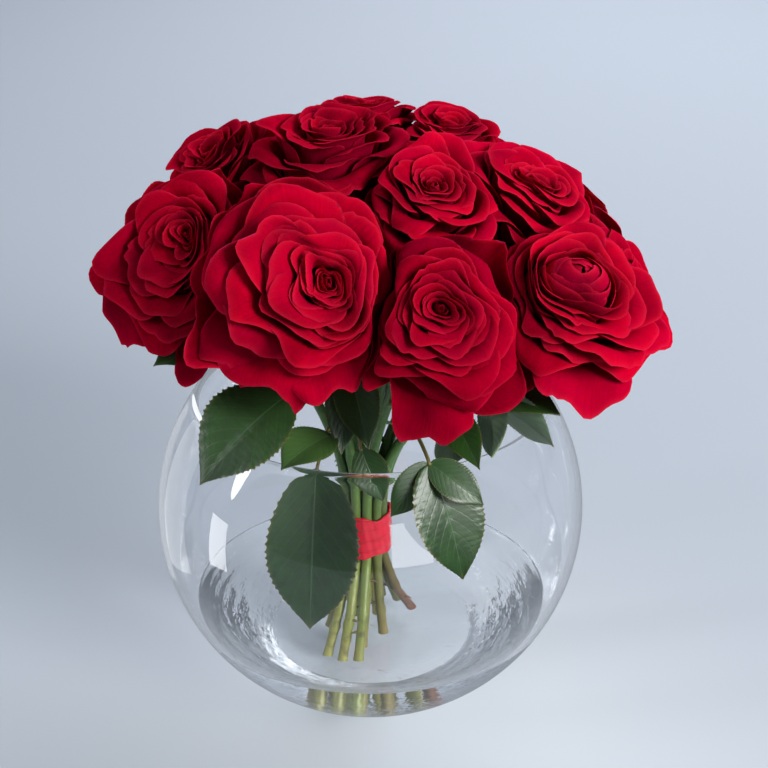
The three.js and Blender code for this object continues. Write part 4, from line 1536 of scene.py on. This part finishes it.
@dataclass
class Foliage:
    """The leaves that grow on one rose's stem: stalks, and leaflets with a toothed edge."""

    rose: Rose
    path: np.ndarray
    teeth: int = 24
    steps_a_tooth: int = 4
    columns: int = 15
    thickness: float = 0.5
    arch: float = 0.07
    fold: float = 0.18
    quilt: float = 0.026
    ripple: float = 0.016
    lean: float = 0.045
    tooth_size: float = 0.07
    tooth_hook: float = 0.006
    fullness: float = 0.52
    sunk: float = 1.2
    stalk_radius: float = 0.95
    stalk_rise: float = 4.0
    stalk_sides: int = 8
    stalk_fresh: float = 0.2

    def leaflet_grid(self, root: np.ndarray, leaflet: Leaflet, phase: float) -> tuple:
        """Works out a leaflet's surface.

        A point at a share t of the length and x across is root + t * along + (arch * 4t(1-t) +
        fold * |x| * half + quilt + ripple) * up + x * half * across, and its side leans towards the
        tip by lean * x² * sin(pi t) * along. The quilt rises between the side veins of a large
        leaflet. Half the width is fullness * width * sin(pi t^0.74)^(0.66 + 0.44 t), and more at
        each tooth, which rises slowly and falls sharply towards the tip.

        Args:
            root: Where the leaflet starts.
            leaflet: Its tip, width and face.
            phase: Where its ripples start.

        Returns:
            Points as rows along, columns across and x, y, z, and the place of each point.
        """
        along = np.array(leaflet.tip, float) - root
        length = np.linalg.norm(along)
        across = unit(np.cross(along, np.array(leaflet.face, float)))
        up = unit(np.cross(across, along))
        count = self.teeth * self.steps_a_tooth
        t = np.linspace(0.0, 1.0, count + 1)
        tooth = np.mod(np.arange(count + 1) / self.steps_a_tooth, 1.0)
        t = np.clip(t + self.tooth_hook * np.sin(2 * np.pi * tooth), 0, 1)
        outline = np.sin(np.pi * t**0.74) ** lerp(0.66, 1.1, t) * (1 + self.tooth_size * (tooth - 0.4))
        half = np.maximum(self.fullness * leaflet.width * outline, 0.05)[:, None]
        share = np.linspace(-1, 1, self.columns)
        share = (share * (1.2 - 0.2 * share**2))[None, :]
        apart, t = np.abs(share), t[:, None]
        lean = self.lean * length * apart**2 * np.sin(np.pi * t)
        quilt = (self.quilt * leaflet.width * smooth((length - 25) / 45) * np.sin(np.pi * t) * np.sqrt(apart)
                 * np.abs(np.sin(np.pi * (SIDE_VEINS * t - VEIN_SLANT * apart + 0.5))))
        ripple = self.ripple * length * np.sin(2.3 * np.pi * t + phase + 1.4 * share) * apart**2
        lift = self.arch * length * 4 * t * (1 - t) + self.fold * apart * half + quilt + ripple
        grid = (root + (t * length + lean)[..., None] * (along / length) + lift[..., None] * up
                + (share * half)[..., None] * across)
        place = np.stack(np.broadcast_arrays(share, t), axis=-1)
        return grid[:, ::-1], place[:, ::-1]

    def build(self, material: bpy.types.Material) -> None:
        """Builds the rose's leaves, if it has any.

        Args:
            material: The leaves' finish.
        """
        sprays = [spray for spray in SPRAYS if spray.rose == self.rose.key]
        if not sprays:
            return
        rng = np.random.default_rng(200 + int(self.rose.key))
        parts = MeshParts()
        for spray in sprays:
            joint = np.array(spray.joint, float)
            root = self.path[np.flatnonzero(self.path[:, 2] <= spray.height)[-1]]
            middle = (root + joint) / 2
            top = max(root[2], joint[2]) + self.stalk_rise
            over = np.array(spray.via or (middle[0], middle[1], top), float)
            t = np.linspace(0, 1, 15)[:, None]
            stalk = (1 - t) ** 2 * root + 2 * (1 - t) * t * over + t * t * joint
            side = unit(np.cross(over - root, joint - over + [0.01, 0.02, 0.0]))
            parts.add_tube(stalk, self.stalk_radius * (1.15 - 0.35 * t[:, 0]), side,
                           self.stalk_sides, (self.stalk_fresh, rng.uniform()))
            heel = joint + unit(over - joint) * self.sunk
            for leaflet in spray.leaflets:
                grid, place = self.leaflet_grid(heel, leaflet, rng.uniform(0, 6.28))
                parts.add_sheet(grid, place, self.thickness / 2, (leaflet.fresh, rng.uniform()))
        leaves = parts.build(f"rose_{self.rose.key}_leaves", material)
        register(leaves, "leaves", f"rose_{self.rose.key}_stem")


# The studio


@dataclass(frozen=True)
class SoftBox:
    """A lamp, or a card that only gleams in the glass.

    It has a middle, a point that it faces, a width and height, a power in watts and a colour.
    """

    name: str
    place: tuple
    aim: tuple
    size: tuple
    power: float
    colour: tuple = (1.0, 1.0, 1.0)
    is_card: bool = False
    gleams: bool = True

    def build(self) -> None:
        """Makes the lamp, which shines through glass but isn't seen bent in it."""
        data = bpy.data.lights.new(self.name, "AREA")
        data.shape = "RECTANGLE" if self.is_card else "ELLIPSE"
        data.size, data.size_y = self.size[0] * MM, self.size[1] * MM
        data.energy = self.power
        data.color = self.colour
        lamp = shown(self.name, data)
        lamp.location = Vector(self.place) * MM
        lamp.rotation_euler = (Vector(self.aim) - Vector(self.place)).to_track_quat("-Z", "Y").to_euler()
        lamp.visible_transmission = False
        lamp.visible_glossy = self.gleams
        lamp.visible_camera = lamp.visible_diffuse = not self.is_card


@dataclass
class Studio:
    """A pale sheet of paper swept up behind the bowl, soft lights and the camera."""

    target: tuple = (6.3, 0.0, 150.5)
    distance: float = 765.0
    elevation: float = 25.0
    field_of_view: float = 26.0
    sensor_width: float = 36.0
    sky: float = 0.42
    sky_in_glass: tuple = (0.06, 0.42)
    sky_colour: tuple = (0.75, 0.82, 0.93)
    floor_start: float = -900.0
    floor_depth: float = 1500.0
    floor_width: float = 5200.0
    sweep_radius: float = 900.0
    wall_height: float = 3200.0
    lamps: tuple = (
        SoftBox("key_box", (1000, -900, 800), (0, 0, 160), (600, 600), 34.0, (1.0, 0.99, 0.98)),
        SoftBox("left_window", (-1100, -250, 700), (0, 0, 160), (160, 900), 5.0, (0.95, 0.98, 1.0)),
        SoftBox("back_box", (500, 900, 1200), (0, 0, 160), (1200, 600), 6.0, (0.93, 0.96, 1.0)),
        SoftBox("floor_wash", (500, 1600, 1400), (100, 1300, 0), (1600, 800), 36.0, (0.95, 0.97, 1.0),
                gleams=False),
        SoftBox("left_card", (-305, -98, 52), (-65, -73, 109), (58, 110), 0.13, is_card=True),
        SoftBox("left_rear_card", (-285, 100, 60), (-88, -40, 105), (130, 260), 0.08, is_card=True),
        SoftBox("front_card", (108, -325, 148), (18, -93, 120), (110, 120), 0.22, is_card=True),
    )

    def camera(self) -> None:
        """Makes the camera, which looks at the target from the front and above."""
        data = bpy.data.cameras.new("camera")
        data.sensor_width = self.sensor_width
        data.lens = self.sensor_width / 2 / math.tan(math.radians(self.field_of_view / 2))
        camera = shown("camera", data)
        rise = math.radians(self.elevation)
        back = Vector((0.0, -math.cos(rise), math.sin(rise)))
        camera.location = Vector(self.target) * MM + back * self.distance * MM
        camera.rotation_euler = (-back).to_track_quat("-Z", "Y").to_euler()
        bpy.context.scene.camera = camera

    def backdrop(self) -> None:
        """Makes the paper: a floor that turns up in a quarter circle into a wall."""
        turn = np.linspace(0, np.pi / 2, 25)
        sweep = self.sweep_radius * np.stack([np.sin(turn), 1 - np.cos(turn)], axis=1)
        sweep[:, 0] += self.floor_depth
        y, z = np.concatenate([[[self.floor_start, 0.0]], sweep, [[sweep[-1, 0], self.wall_height]]]).T
        x = np.array([-self.floor_width / 2, self.floor_width / 2])
        grid = np.stack(np.broadcast_arrays(x, y[:, None], z[:, None]), axis=-1) * MM
        index = np.arange(2 * len(y)).reshape(-1, 2)
        mesh = bpy.data.meshes.new("paper")
        mesh.from_pydata(grid.reshape(-1, 3).tolist(), [], MeshParts.quads(index)[:, ::-1].tolist())
        mesh.polygons.foreach_set("use_smooth", np.ones(len(mesh.polygons), bool))
        mesh.materials.append(PaperFinish().material())
        paper = shown("paper", mesh)
        paper.visible_glossy = False

    def lights(self) -> None:
        """Makes the soft boxes, the cards that only gleam in the glass, and a dim sky.

        What the glass mirrors of the sky is darker in front, so that it doesn't veil the leaves inside.
        """
        for lamp in self.lamps:
            lamp.build()
        world = bpy.data.worlds.new("sky")
        bpy.context.scene.world = world
        world.use_nodes = True
        nodes = Nodes(world.node_tree)
        towards = nodes.split(nodes.field(nodes.add("TexCoord"), "Generated"))
        mirrored = nodes.field(nodes.add("MapRange", towards[1], -0.95, 0.0, *self.sky_in_glass))
        is_glossy = nodes.field(nodes.add("LightPath"), "Is Glossy Ray")
        strength = nodes.field(nodes.add("MapRange", is_glossy, 0.0, 1.0, self.sky, mirrored))
        background = world.node_tree.nodes["Background"]
        nodes.feed(background.inputs["Color"], self.sky_colour)
        nodes.feed(background.inputs["Strength"], strength)
        bpy.context.scene.view_settings.view_transform = "Standard"


def main() -> None:
    """Makes the studio, the bowl, the tie and every rose."""
    logging.basicConfig(level=logging.INFO, format="%(message)s")
    studio = Studio()
    studio.camera()
    studio.backdrop()
    studio.lights()
    bowl = Bowl()
    bowl.build()
    tie = TieBand()
    tie.build()
    petal, leaf, bark = PetalFinish().material(), LeafFinish().material(), StemFinish().material()
    for rose in ROSES:
        stem = Stem(rose, bowl, tie)
        stem.build(bark)
        Foliage(rose, stem.path()).build(leaf)
        Bloom(rose).build(petal)


if __name__ == "__main__":
    main()
